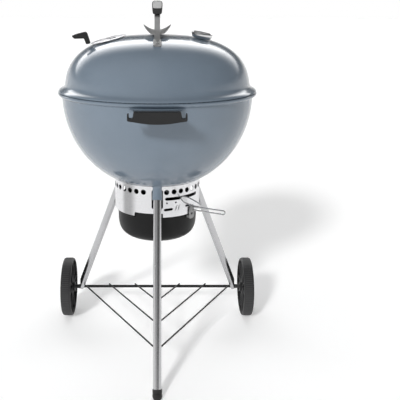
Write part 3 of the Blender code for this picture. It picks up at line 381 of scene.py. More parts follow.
# brushed metal; one setting paints a dark reflection streak into the colour
def brushedFinish(name, level, roughness, stretch, metallic=1.0, scale=260, depth=0.18, blue=0.02,
                  paintedStreakStrength=0.0):
    finish = Finish(name, Metallic=metallic)
    grain = finish.noise(scale, 5, 0.65, stretch)
    smudge = finish.noise(14, 4, 0.6)
    base = finish.mix(grain, grey(level * 0.86, blue), grey(min(level * 1.10, 1.0), blue))
    base = finish.mix(smudge.ramp(0.45, 0.75) * 0.12, base, grey(level * 0.62, blue))
    # painted dark reflection: an upright darker streak, front left, where the rolled sheet curves away
    x, y = finish.split()[:2]
    paintedReflectionStreak = x.ramp(-0.108, -0.094) * (1 - x.ramp(-0.082, -0.058)) * (1 - y.ramp(-0.05, 0.0))
    base = finish.mix(paintedReflectionStreak * paintedStreakStrength, base, grey(level * 0.30, blue))
    finish.set(Base_Color=base, Roughness=roughness + 0.12 * (grain - 0.5) + 0.10 * smudge.ramp(0.5, 0.8))
    finish.set(Normal=finish.bump(grain, depth, 0.0004))
    return finish.material


def plasticFinish(name, level, roughness, grainScale=520, depth=0.35, edge=0.06, blue=0.02, gloss=0.5):
    finish = Finish(name, Specular_IOR_Level=gloss)
    leather = finish.cells(grainScale)
    cloud = finish.noise(24, 4)
    wear = finish.edges().ramp(0.515, 0.60)
    base = finish.mix(cloud, grey(level * 0.80, blue), grey(level * 1.25, blue))
    base = finish.mix(wear * 0.5, base, grey(level + edge, blue))
    finish.set(Base_Color=base, Roughness=roughness + 0.12 * (cloud - 0.5) + 0.06 * leather)
    finish.set(Normal=finish.bump(leather, depth, 0.00025))
    return finish.material


def paintFinish(name, level, roughness, metallic=0.0, coat=0.25, blue=0.03, gloss=0.5):
    finish = Finish(name, Metallic=metallic, Coat_Weight=coat, Coat_Roughness=0.15,
                    Specular_IOR_Level=gloss)
    skin = finish.noise(420, 4)
    cloud = finish.noise(18, 4)
    base = finish.mix(cloud, grey(level * 0.82, blue), grey(level * 1.22, blue))
    base = finish.mix(finish.noise(60, 6, 0.7).ramp(0.62, 0.75) * 0.12, base, grey(level * 2.4, blue))
    finish.set(Base_Color=base, Roughness=roughness + 0.14 * (cloud - 0.5) + 0.05 * skin)
    finish.set(Normal=finish.bump(skin, 0.22, 0.0003))
    return finish.material


def dialFinish(name, centre, tilt):
    # a pale face with tick marks: rings and spokes worked out in the dial's own plane
    finish = Finish(name, Roughness=0.42)
    turn = np.array(tilt.inverted().to_3x3().to_euler())
    local = finish.node("ShaderNodeMapping", {"vector_type": "POINT"},
                        {0: finish.place, 1: tuple(-np.array(centre))})
    local = finish.node("ShaderNodeMapping", {"vector_type": "POINT"}, {0: local, 2: tuple(turn)})
    parts = finish.node("ShaderNodeSeparateXYZ", None, [local]).socket.node
    x, y = Value(finish, parts.outputs[0]), Value(finish, parts.outputs[1])
    radius = (x * x + y * y) ** 0.5
    angle = x.math("ARCTAN2", y, x)
    tick = ((angle * 12).sine().size() < 0.13) * (radius > 0.0205) * (radius < 0.0235)
    band = (radius > 0.0150) * (radius < 0.0172) * (angle > -2.6) * (angle < 1.2)
    rim = (radius > 0.0242) * (radius < 0.0248)
    mottle = finish.noise(300, 3)
    base = finish.mix(mottle, grey(0.80), grey(0.90))
    base = finish.mix(band * 0.85, base, (0.42, 0.10, 0.06, 1))
    base = finish.mix(tick + rim, base, grey(0.02))
    finish.set(Base_Color=base, Roughness=0.38 + 0.1 * mottle, Normal=finish.bump(mottle, 0.08, 0.0002))
    return finish.material


def glassFinish(name):
    finish = Finish(name, Roughness=0.03, IOR=1.45, Transmission_Weight=1.0, Alpha=0.35)
    smear = finish.noise(60, 4)
    finish.set(Base_Color=finish.mix(smear, grey(0.93), grey(1.0)),
               Roughness=0.02 + 0.05 * smear.ramp(0.5, 0.8))
    return finish.material


def floorFinish(name):
    finish = Finish(name, Roughness=0.65, Specular_IOR_Level=0.1, Emission_Color=(1, 1, 1, 1),
                    Emission_Strength=0.22)
    cloud = finish.noise(3, 3)
    finish.set(Base_Color=finish.mix(cloud, grey(0.88), grey(0.89)), Roughness=0.60 + 0.1 * cloud)
    return finish.material


slate = enamelFinish("slateEnamel", (0.150, 0.190, 0.235))
# the ring's finish carries a painted dark reflection streak, front left
ringAluminium = brushedFinish("brushedRing", 0.80, 0.26, (0.25, 0.25, 9), scale=120, depth=0.08,
                              paintedStreakStrength=0.7)
legAluminium = brushedFinish("drawnTube", 0.56, 0.20, (1, 1, 0.04), scale=420, depth=0.03)
plateAluminium = brushedFinish("rolledPlate", 0.66, 0.30, (1, 7, 1), scale=160)
stripSteel = brushedFinish("stripSteel", 0.30, 0.42, (3, 0.6, 3), metallic=0.55, scale=120, blue=0.0)
springWire = brushedFinish("springWire", 0.62, 0.24, (1, 1, 1), scale=90, blue=0.0)
grateWire = brushedFinish("grateWire", 0.52, 0.30, (1, 1, 1), scale=80, blue=0.0)
bezelChrome = brushedFinish("bezelChrome", 0.72, 0.12, (1, 1, 1), scale=60, depth=0.05, blue=0.01)
capMetal = brushedFinish("capMetal", 0.52, 0.36, (1, 1, 5), metallic=0.6, scale=120, blue=0.0)
blackNylon = plasticFinish("blackNylon", 0.015, 0.42, gloss=0.30)
wheelPlastic = plasticFinish("wheelPlastic", 0.020, 0.52, grainScale=380, edge=0.05, gloss=0.40)
hubPlastic = plasticFinish("hubPlastic", 0.035, 0.45, grainScale=420)
potPaint = paintFinish("potPaint", 0.008, 0.36, coat=0.0, gloss=0.18)
wirePaint = paintFinish("wirePaint", 0.012, 0.38, coat=0.05, gloss=0.28)
lensGlass = glassFinish("lensGlass")
paleFloor = floorFinish("paleFloor")
print("finishes made")


kettle = {
    "rim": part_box("bowl_shell")[1].z, "rimRadius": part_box("bowl_shell")[1].x,
    "lidRadius": 0.2751, "lidRise": 0.1759, "lidLevel": 0.7999, "lidPower": 2.6797,
    "bowlRadius": 0.2836, "bowlDepth": 0.2910, "bowlLevel": 0.8073, "bowlPower": 2.0552,
    "wall": 0.0019,
}


def lidHeight(radius):
    # superellipse: level + rise (1 - (r/a)^n)^(1/n)
    share = 1 - (np.asarray(radius) / kettle["lidRadius"]) ** kettle["lidPower"]
    return kettle["lidLevel"] + kettle["lidRise"] * share ** (1 / kettle["lidPower"])


def bowlHeight(radius):
    share = 1 - (np.asarray(radius) / kettle["bowlRadius"]) ** kettle["bowlPower"]
    return kettle["bowlLevel"] - kettle["bowlDepth"] * np.maximum(share, 0) ** (1 / kettle["bowlPower"])


def superellipse(radius, level, rise, power, start, end, count):
    # r = a cos(t)^(2/n), z = level + rise sin(t)^(2/n)
    t = np.radians(np.linspace(start, end, count))
    cosine = np.where(np.abs(np.cos(t)) < 1e-9, 0, np.abs(np.cos(t)))
    return np.stack([radius * cosine ** (2 / power), level + rise * np.abs(np.sin(t)) ** (2 / power)], -1)


def lidFrame(joint):
    # the joint's place on the lid, +Z along its axis and +X away from the crown
    spot, normal = Vector(joint["pos_m"]), Vector(joint["axis"]).normalized()
    outward = Vector((math.copysign(1, spot.x), 0, 0))
    outward = (outward - normal * outward.dot(normal)).normalized()
    side = normal.cross(outward)
    return Matrix.Translation(spot) @ Matrix((outward, side, normal)).transposed().to_4x4()


damperFrame = lidFrame(joints["damper_turn"])
gaugeFrame = lidFrame(joints["pointer_turn"])


def rodCutter(frame4, radius, length, steps=40, x=0.0, y=0.0):
    return turned("cutter", [(0, -length), (radius, -length), (radius, length), (0, length)], slate,
                  steps=steps, frame4=frame4 @ move(x, y), closed=False)


bowl = {"ventRadius": 0.062, "ventLength": 0.048, "ventWidth": 0.018, "shaftHole": 0.0085,
        "vents": (60, 180, 300)}


def makeBowl(size):
    top, out = kettle["rim"], kettle["rimRadius"]
    bead = curveThrough([(out - 0.0117, top - 0.0010), (out - 0.0090, top - 0.0002), (out - 0.0052, top),
                         (out - 0.0014, top - 0.0012), (out, top - 0.0040), (out - 0.0014, top - 0.0076),
                         (out - 0.0058, top - 0.0106), (out - 0.0104, top - 0.0135)], 26)
    wall = superellipse(kettle["bowlRadius"], kettle["bowlLevel"], -kettle["bowlDepth"],
                        kettle["bowlPower"], 3.2, 88.2, 90)
    wall[-1] = (size["shaftHole"], bowlHeight(size["shaftHole"]))
    shell = turned("bowl", thick(np.vstack([bead, wall]), kettle["wall"]), slate, steps=160)
    cutters = []
    for angle in size["vents"]:
        x, y, z = around(angle, size["ventRadius"], float(bowlHeight(size["ventRadius"])))
        half = size["ventWidth"] / 2
        turn = np.radians(np.linspace(0, 180, 13))
        end = np.stack([half * np.cos(turn), half * np.sin(turn) + size["ventLength"] / 2 - half], -1)
        cutters.append(slab("cutter", np.vstack([end, -end]), 0.06, 0.001, slate,
                            move(x, y, z) @ spin(angle)))
    return ready(carve(shell, cutters, smooth=30), "stand", "slate_enamel", "bowl_shell")


lid = {"ventCircle": 0.030, "ventHole": 0.011, "probeHole": 0.0042}


def makeLid(size):
    edge = kettle["rim"]
    crown = superellipse(kettle["lidRadius"], kettle["lidLevel"], kettle["lidRise"], kettle["lidPower"],
                         90, 9.5, 110)
    flare = curveThrough([crown[-1], (0.2746, 0.8330), (0.2775, 0.8277), (0.2825, 0.8238),
                          (0.2885, 0.8206), (0.2928, 0.8172), (0.2943, edge + 0.0018)], 26)
    shell = turned("lidShell", thick(np.vstack([crown, flare[1:]]), kettle["wall"]), slate, steps=160)
    cutters = [rodCutter(damperFrame, size["ventHole"], 0.03, x=size["ventCircle"] * math.cos(turn),
                         y=size["ventCircle"] * math.sin(turn)) for turn in np.radians([0, 120, 240])]
    cutters += [rodCutter(damperFrame, 0.0035, 0.03), rodCutter(gaugeFrame, size["probeHole"], 0.03)]
    return ready(carve(shell, cutters, smooth=30), "lid", "slate_enamel", "lid_shell")


makeBowl(bowl)
makeLid(lid)
print("bowl and lid made")

legs = {"reach": -frame["record"]["mounts"][0]["pos_m"][1], "lean": 0.4230, "radius": 0.01175,
        "wall": 0.0015, "top": 0.5270, "socketRadius": 0.0146, "socketBottom": 0.5080, "rearAngle": 120,
        "axleHeight": joints["wheel_left_roll"]["pos_m"][2]}


def legPoint(angle, height):
    return Vector(around(angle, legs["reach"] - legs["lean"] * height, height))


def legFrame(angle, height):
    # +Z up the leg, +X across it
    up = (legPoint(angle, 1.0) - legPoint(angle, 0.0)).normalized()
    sideways = Vector(around(angle + 90, 1.0, 0.0))
    return Matrix.Translation(legPoint(angle, height)) @ Matrix((
        sideways, up.cross(sideways), up)).transposed().to_4x4()


def legLength(low, high):
    return (high - low) * math.sqrt(1 + legs["lean"] ** 2)


def tubeSkin(name, angle, low, high, material, radius=None, wall=None):
    radius, wall, length = radius or legs["radius"], wall or legs["wall"], legLength(low, high)
    ease = 0.0006
    profile = [(radius - ease, length), (radius, length - ease), (radius, ease), (radius - ease, 0),
               (radius - wall, 0), (radius - wall, length)]
    return turned(name, profile, material, steps=64, frame4=legFrame(angle, low), smooth=30)


def makeSocket(side, angle):
    # a cup round the leg's end; each line of its skin is carried up until it meets the bowl
    frame4 = legFrame(angle, legs["socketBottom"])
    turn = np.arange(96) * 2 * np.pi / 96
    inner, outer = legs["radius"] + 0.0003, legs["socketRadius"]
    matrix = np.array(frame4)

    def meet(radius, lift):
        low, high = np.zeros(96), np.full(96, 0.075)
        for _ in range(40):  # halving the span between below and inside the bowl
            middle = (low + high) / 2
            spot = np.stack([radius * np.cos(turn), radius * np.sin(turn), middle],
                            -1) @ matrix[:3, :3].T + matrix[:3, 3]
            inside = spot[:, 2] > bowlHeight(np.hypot(spot[:, 0], spot[:, 1])) - lift
            low, high = np.where(inside, low, middle), np.where(inside, middle, high)
        return middle

    def ringAt(radius, height):
        height = np.broadcast_to(height, 96)
        return np.stack([radius * np.cos(turn), radius * np.sin(turn), height], -1)

    top = meet(outer, 0.0004)
    flareTop = meet(outer + 0.0035, 0.0003)
    grid = [ringAt(outer + 0.0035, flareTop), ringAt(outer + 0.0012, flareTop * 0.5 + (top - 0.004) * 0.5),
            ringAt(outer, np.minimum(top - 0.006,
                                     0.9 * top)), ringAt(outer, 0.0010), ringAt(outer - 0.0009, 0.0),
            ringAt(inner, 0.0), ringAt(inner, np.minimum(meet(inner, 0.0006) * 0.96, legLength(
                legs["socketBottom"], legs["top"]) + 0.002))]
    return ready(body("legSocket_" + side, np.array(grid), slate, smooth=40, frame4=frame4),
                 "stand", "slate_enamel", "leg_socket_" + side)


def makeFrontLeg():
    leg = tubeSkin("frontLeg", 0, 0.006, legs["top"], legAluminium)
    ready(leg, "stand", "aluminium", "front_leg")
    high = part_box("front_foot")[1]
    radius = 0.0138
    tall = legLength(0, high.z) * 0.985
    profile = [(legs["radius"] + 0.0003, 0.0075), (legs["radius"] + 0.0003, tall),
               (radius - 0.0006, tall), (radius - 0.0002, tall - 0.0008), (radius - 0.0002, tall * 0.62),
               (radius - 0.0010, tall * 0.60), (radius - 0.0010, tall * 0.54),
               (radius - 0.0002, tall * 0.52), (radius, tall * 0.25), (radius - 0.0004, 0.0045),
               (radius - 0.0022, -0.0010), (radius - 0.0060, -0.0060), (0, -0.0080), (0, 0.0060)]
    foot = turned("frontFoot", profile, blackNylon, steps=72, frame4=legFrame(0, 0.0), smooth=35)
    x, y = legPoint(0, 0).xy
    floorCut = slab("cutter", [(-0.05, -0.05), (0.05, -0.05), (0.05, 0.05), (-0.05, 0.05)], 0.04, 0.001,
                    blackNylon, move(x, y, -0.02))
    ready(carve(foot, [floorCut]), "stand", "black_nylon", "front_foot")


def makeRearLeg(side, sign):
    # a tube cut upright on its outer side, closed by a dark plug, its end wrapped round the axle
    angle, height = sign * legs["rearAngle"], legs["axleHeight"]
    leg = tubeSkin("rearLeg_" + side, angle, height - 0.004, legs["top"], legAluminium)
    spot = legPoint(angle, height)
    upright = slab("cutter", [(0, -0.05), (0.1, -0.05), (0.1, 0.05), (0, 0.05)], 0.30, 0.0005,
                   legAluminium,
                   move(spot.x + sign * 0.0010, spot.y, height) @ spin(0 if sign > 0 else 180))
    tongue = turned("cutter",
                    [(0, -0.0015), (0.0094, -0.0015), (0.0100, -0.0009), (0.0100, 0.0009),
                     (0.0094, 0.0015), (0, 0.0015)],
                    legAluminium, steps=48, frame4=along((spot.x, spot.y, height), (1, 0, 0)),
                    closed=False)
    carve(leg, [upright])
    carve(leg, [tongue], "UNION")
    carve(leg, [rodCutter(along((spot.x, spot.y, height), (1, 0, 0)), 0.0050, 0.03)])
    ready(leg, "stand", "aluminium", "rear_leg_" + side)
    # the plug fills the cut: a leaf of the tube's own section, standing a little proud
    plug = turned("legPlug_" + side, [(0, 0), (legs["radius"] - legs["wall"] - 0.0003, 0),
                  (legs["radius"] - legs["wall"] - 0.0003, 0.075), (0, 0.078)], blackNylon, steps=56,
                  frame4=legFrame(angle, height + 0.006), closed=False)
    flush = slab("cutter", [(0, -0.05), (0.1, -0.05), (0.1, 0.05), (0, 0.05)], 0.30, 0.0005, blackNylon,
                 move(spot.x + sign * 0.0030, spot.y, height) @ spin(0 if sign > 0 else 180))
    foot = slab("cutter", [(-0.1, -0.1), (0.1, -0.1), (0.1, 0.1), (-0.1, 0.1)], 0.10, 0.0005, blackNylon,
                move(spot.x, spot.y, height + 0.007))
    ready(carve(plug, [flush, foot]), "stand", "black_nylon", "rear_leg_plug_" + side)


for side, angle in (("front", 0), ("right", legs["rearAngle"]), ("left", -legs["rearAngle"])):
    makeSocket(side, angle)
makeFrontLeg()
makeRearLeg("right", 1)
makeRearLeg("left", -1)
print("legs made")

wheels = {"radius": 0.100, "width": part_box("wheel_right")[1].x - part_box("wheel_right")[0].x - 0.004,
          "outside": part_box("wheel_right")[1].x, "spokes": 10, "ribs": 90, "rimWall": 0.0085,
          "hub": 0.0165, "bore": 0.0053, "spoke": 0.0045, "web": 0.0035}


def makeWheel(side, sign):
    # rim, web and hub turned in one profile; spokes and tread ribs are set round it
    width, radius, middle = wheels["width"], wheels["radius"], wheels["width"] / 2
    joint = joints[f"wheel_{side}_roll"]
    frame4 = along((sign * (wheels["outside"] - width), joint["pos_m"][1], joint["pos_m"][2]),
                   (sign, 0, 0))
    inside, hub, web, bore = radius - wheels["rimWall"], wheels["hub"], wheels["web"], wheels["bore"]
    profile = [(radius - 0.0050, width), (radius - 0.0020, width - 0.0012),
               (radius - 0.0006, width - 0.0040), (radius - 0.0006, 0.0040), (radius - 0.0020, 0.0012),
               (radius - 0.0050, 0.0), (inside + 0.0008, 0.0), (inside, 0.0010),
               (inside - 0.0005, middle - web), (inside - 0.0035, middle - web / 2),
               (hub + 0.004, middle - web / 2), (hub, middle - web), (hub - 0.0006, -0.0034),
               (hub - 0.0014, -0.0040), (bore, -0.0040), (bore, width - 0.0095),
               (hub - 0.0014, width - 0.0095), (hub - 0.0006, width - 0.0103), (hub, middle + web),
               (hub + 0.004, middle + web / 2), (inside - 0.0035, middle + web / 2),
               (inside - 0.0005, middle + web), (inside, width - 0.0010), (inside + 0.0008, width)]
    wheel = turned("wheelBody_" + side, profile, wheelPlastic, steps=120, frame4=frame4, smooth=35)
    spokes = []
    for number in range(wheels["spokes"]):
        turn = spin(number * 360 / wheels["spokes"])
        half = wheels["spoke"] / 2
        for low, high in ((0.0035, middle - web / 2 + 0.0006),
                          (middle + web / 2 - 0.0006, width - 0.0040)):
            # a spoke's outline narrows at its middle: half (1 + 0.7 s^2) along its run s
            s = np.linspace(-1, 1, 9)
            run = (inside - hub + 0.002) / 2 * s + (inside + hub) / 2
            side2 = half * (1 + 0.7 * s**2)
            outline = np.vstack([np.stack([run, side2], -1), np.stack([run[::-1], -side2[::-1]], -1)])
            spokes.append(slab("spoke", outline, high - low, 0.0007, wheelPlastic,
                               frame4 @ turn @ move(0, 0, (low + high) / 2), steps=2))
    ribs = []
    for number in range(wheels["ribs"]):
        turn = spin(number * 360 / wheels["ribs"])
        outline = [(radius - 0.0012, -0.0016), (radius, -0.0009), (radius, 0.0009),
                   (radius - 0.0012, 0.0016)]
        ribs.append(slab("rib", outline, width - 0.0120, 0.0003, wheelPlastic,
                         frame4 @ turn @ move(0, 0, middle), steps=2))
    whole = merge("wheel_" + side, [wheel] + spokes + ribs)
    ready(whole, "wheel_" + side, "wheel_plastic", "wheel_" + side)


def makeAxle():
    _, y, z = joints["wheel_left_roll"]["pos_m"]
    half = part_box("axle")[1].x
    radius = (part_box("axle")[1].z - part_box("axle")[0].z) / 2
    rod = wire("axleRod", np.stack([np.linspace(-half, half, 9), np.full(9, y), np.full(9, z)], -1),
               radius, (0, 1, 0), wirePaint, sides=28)
    ready(rod, "stand", "black_wire", "axle")
    for side, sign in (("right", 1), ("left", -1)):
        low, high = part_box("axle_sleeve_" + side)
        length, outer, inner = high.x - low.x, (high.z - low.z) / 2 - 0.0004, radius + 0.0003
        start = low.x if sign > 0 else high.x
        profile = [(inner, 0), (outer, 0), (outer, length * 0.30), (outer - 0.0010, length * 0.34),
                   (outer - 0.0010, length * 0.86), (outer, length * 0.90), (outer, length - 0.0006),
                   (outer - 0.0006, length), (inner, length)]
        ready(turned("axleSleeve_" + side, profile, hubPlastic, steps=48, frame4=along(
            (start, y, z), (sign, 0, 0)), smooth=35), "stand", "black_nylon", "axle_sleeve_" + side)
        low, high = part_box("axle_cap_" + side)
        start, wide, tall = (low.x if sign > 0 else high.x), (high.z - low.z) / 2, high.x - low.x
        profile = [(0, 0), (wide, 0), (wide, tall * 0.25), (wide * 0.93, tall * 0.55),
                   (wide * 0.76, tall * 0.85), (wide * 0.45, tall), (0, tall)]
        ready(turned("axleCap_" + side, profile, hubPlastic, steps=48, frame4=along(
            (start, y, z), (sign, 0, 0)), closed=False), "stand", "black_nylon", "axle_cap_" + side)


shelf = {"wire": 0.0026, "tips": ((0.2518, 0.1475), (0.1700, 0.1601), (0.0788, 0.1601)), "slope": 0.5890}


def makeShelf(size):
    low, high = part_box("wire_rack")
    level = high.z - size["wire"]
    wires = [wire("middleWire", [(0, low.y + 0.0006, level - 0.0009), (0, -0.1, level - 0.0004),
                                 (0, high.y - 0.0025, level)], size["wire"] * 0.96, (1, 0, 0), wirePaint)]
    for half, y in size["tips"]:
        apex = max(y - half / size["slope"], low.y + 0.006)
        path = rounded([(-half, y, level), (0, apex, level), (half, y, level)], 0.010)
        wires.append(wire("vWire", path, size["wire"], (0, 0, 1), wirePaint))
    for wireOne in wires[1:]:
        carve(wires[0], [wireOne], "UNION")
    wires[0].name = "wireShelf"
    return ready(wires[0], "stand", "black_wire", "wire_rack")


makeWheel("right", 1)
makeWheel("left", -1)
makeAxle()
makeShelf(shelf)
print("wheels and shelf made")

ashRing = {"radius": 0.1315, "wall": 0.0014, "bottom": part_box("ash_ring")[0].z, "holeLevel": 0.5290,
           "holeRadius": 0.0078, "holePitch": 10, "slotLevel": 0.5086, "slotHalf": 0.0048,
           "slotEnds": (10, 63), "cutoutHalf": 0.0168, "cutoutBottom": 0.4790, "notchEnds": (-31, 7.3),
           "notchTop": 0.4643}


def wallCutter(outline):
    # an (angle in degrees, height) outline carried through the ring's wall, from inside to outside
    outline = np.asarray(outline, float)
    layers = [around(outline[:, 0], radius, outline[:, 1]) for radius in (0.118, 0.145)]
    return body("cutter", np.array(layers), ringAluminium)


def longHole(start, end, level, half, tilt=0.0, count=22):
    # a round-ended slot: half circles at both ends, straight between, leaning by tilt
    degree = math.degrees(half / ashRing["radius"])
    turn = np.linspace(0, np.pi, 12)
    right = np.stack([end - degree + degree * np.sin(turn), level + half * np.cos(turn) + tilt], -1)
    left = np.stack([start + degree - degree * np.sin(turn), level - half * np.cos(turn) - tilt], -1)
    top = np.linspace(left[-1], right[0], count)[1:-1]
    base = np.linspace(right[-1], left[0], count)[1:-1]
    return np.vstack([right, base, left, top])


def makeAshRing(size):
    radius, wall, bottom = size["radius"], size["wall"], size["bottom"]
    roof = bowlHeight(radius) - 0.0004
    inner = radius - wall
    profile = [(radius, roof), (radius, bottom + 0.0006), (radius - 0.0006, bottom),
               (inner + 0.0004, bottom), (inner, bottom + 0.0005),
               (inner, float(bowlHeight(inner)) - 0.0004)]
    ring = turned("ashRing", profile, ringAluminium, steps=240, smooth=30)
    cutters = []
    legAngles = (0, 120, 240)
    hole = np.stack([np.cos(np.arange(24) * np.pi / 12), np.sin(np.arange(24) * np.pi / 12)], -1)
    degree = math.degrees(size["holeRadius"] / radius)
    for angle in range(12, 350, size["holePitch"]):
        if all(abs((angle - legAngle + 180) % 360 - 180) > 10 for legAngle in legAngles):
            cutters.append(wallCutter(np.stack(
                [angle + degree * hole[:, 0], size["holeLevel"] + size["holeRadius"] * hole[:, 1]], -1)))
    cutters.append(wallCutter(longHole(*size["slotEnds"], size["slotLevel"], size["slotHalf"])))
    cutters.append(wallCutter(longHole(8.4, 20.5, 0.4760, 0.0040, 0.0006)))
    cutters.append(wallCutter(longHole(39.5, 46.5, 0.4800, 0.0032, 0.0006)))
    for angle in (12.5, 24.5):
        cutters.append(wallCutter(longHole(angle - 1.2, angle + 1.2, 0.4960, 0.0026, 0, 4)))
    for angle in (25.0, 29.0):  # two slanted vent marks
        s = np.linspace(0, 1, 9)
        middle = angle + 0.65 * np.sin(s * 2 * np.pi) + (s - 0.5) * 4.4
        height = 0.4695 + 0.0190 * s
        wide = 0.62 * np.sin(np.pi * (0.12 + 0.76 * s))
        cutters.append(wallCutter(np.vstack([np.stack([middle + wide, height], -1),
                                             np.stack([middle - wide, height], -1)[::-1]])))
    half = math.degrees(size["cutoutHalf"] / radius)
    quarter = np.linspace(0, np.pi / 2, 8)
    for legAngle in legAngles:
        top = 0.5375
        easeX, easeZ = half * 0.35, 0.006
        right = np.stack([half - easeX + easeX * np.sin(quarter), top - easeZ + easeZ * np.cos(quarter)], -1)
        low = np.stack([half - easeX + easeX * np.cos(quarter),
                        size["cutoutBottom"] + easeZ - easeZ * np.sin(quarter)], -1)
        outline = np.vstack([right, low])
        mirror = outline[::-1] * (-1, 1)
        outline = np.vstack([outline, mirror])
        cutters.append(wallCutter(outline + (legAngle, 0)))
    first, last = size["notchEnds"]
    s = np.linspace(0, 1, 30)[:, None]
    step = np.vstack([(first, bottom - 0.01), (first, bottom + 0.006), (first + 0.7, size["notchTop"])])
    rest = np.hstack([first + 0.7 + (last - first - 0.7) * s, size["notchTop"] + 0 * s])[1:]
    low = np.hstack([last + (first - last) * s, bottom - 0.01 + 0 * s])[:-1]
    cutters.append(wallCutter(np.vstack([step, rest, low])))
    return ready(carve(ring, cutters, smooth=30), "stand", "aluminium", "ash_ring")


makeAshRing(ashRing)
print("ash ring made")

pot = {"radius": 0.1219, "depth": 0.0940, "level": 0.4520, "power": 4.44, "lip": 0.0030, "wall": 0.0014,
       "latchAngle": 50, "handleAngle": 56, "handleReach": 0.2420, "handleWire": 0.0023,
       "handleLevel": 0.4680, "spread": 0.0058}


def makePot(size):
    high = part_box("ash_pot")[1]
    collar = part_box("ash_pot")[1].x - 0.0006
    pan = superellipse(size["radius"], size["level"], -size["depth"], size["power"], 0.5, 90, 70)
    pan[-1, 0] = 0
    rim = curveThrough([(collar - 0.0018, high.z - 0.0004), (collar, high.z - 0.0022),
                        (collar - 0.0010, high.z - 0.0052), (size["radius"] + 0.0014, high.z - 0.0095),
                        (size["radius"], high.z - 0.0140)], 16)
    skin = turned("ashPot", thick(np.vstack([rim, pan]), size["wall"]), potPaint, steps=144)
    path = around(np.linspace(-110, -33, 40), size["radius"] + size["lip"] * 0.75,
                  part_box("ash_ring")[0].z - size["lip"] - 0.0012)
    lip = wire("lip", path, size["lip"], (0, 0, 1), potPaint, sides=16)
    return ready(carve(skin, [lip], "UNION"), "ash_pot", "pot_paint", "ash_pot")


def makeLatch(size):
    # a plate outside the ring with a rounded window cut through it, and a foot in to the pan
    inner = ashRing["radius"] + 0.0027
    low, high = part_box("ash_pot_latch")[0].z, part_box("ash_pot_latch")[1].z
    half = 0.0118
    turn = spin(size["latchAngle"]) @ move(0, -inner - 0.0008, 0) @ spin(90, "X")
    outline = rounded([(-half, low + 0.004), (-half * 0.6, low), (half * 0.6, low), (half, low + 0.004),
                       (half, high - 0.014), (half * 0.62, high), (-half * 0.62, high),
                       (-half, high - 0.014)], 0.004, 5, True)
    plate = slab("potLatch", outline, 0.0015, 0.0004, stripSteel, turn)
    reach = inner + 0.0010 - (size["radius"] + 0.0008)
    foot = slab("foot", [(-half * 0.8, 0), (half * 0.8, 0), (half * 0.8, reach), (-half * 0.8, reach)],
                0.0070, 0.0008, stripSteel,
                spin(size["latchAngle"]) @ move(0, -(size["radius"] + 0.0008) - reach, 0.4425))
    window = slab("cutter", rounded(
        [(-0.005, -0.0035), (0.005, -0.0035), (0.005, 0.0035), (-0.005, 0.0035)], 0.003, 5,
        True), 0.01, 0.0002, stripSteel, turn @ move(0, (low + high) / 2 - 0.006))
    carve(plate, [foot], "UNION")
    return ready(carve(plate, [window]), "ash_pot", "strap_steel", "ash_pot_latch")


def makePotHandle(size):
    start = ashRing["radius"] + 0.0027 + 0.0016 + size["handleWire"] + 0.0003
    root = around(size["latchAngle"], start, size["handleLevel"])
    tip = around(size["handleAngle"], size["handleReach"] - size["handleWire"], size["handleLevel"])
    run = tip - root
    length = np.linalg.norm(run)
    run /= length
    spread = size["spread"]
    turn = np.radians(np.linspace(90, -90, 17))
    bend = root + run * (length - spread + spread * np.cos(turn))[:, None] + np.array([
        0, 0, spread]) * np.sin(turn)[:, None]
    up = np.array([0, 0, 1.0])
    s = np.linspace(0, 1, 14, endpoint=False)[:, None]
    top = root + up * spread * 0.8 + s * (bend[0] - root - up * spread * 0.8)
    base = (root - up * spread * 0.8 + s * (bend[-1] - root + up * spread * 0.8))[::-1]
    path = np.vstack([top, bend, base])
    sideways = np.cross(run, up)
    return ready(wire("potHandle", path, size["handleWire"], sideways, springWire, sides=18), "ash_pot",
                 "zinc_wire", "ash_pot_handle")


makePot(pot)
makeLatch(pot)
makePotHandle(pot)
print("ash pot made")

sweeper = {"angle": 31, "wire": 0.00172, "reach": 0.2350, "blades": 3, "bladeReach": 0.1080,
           "bladeWidth": 0.0300, "bladeLift": 0.0060, "thickness": 0.0018, "shaft": 0.0060}


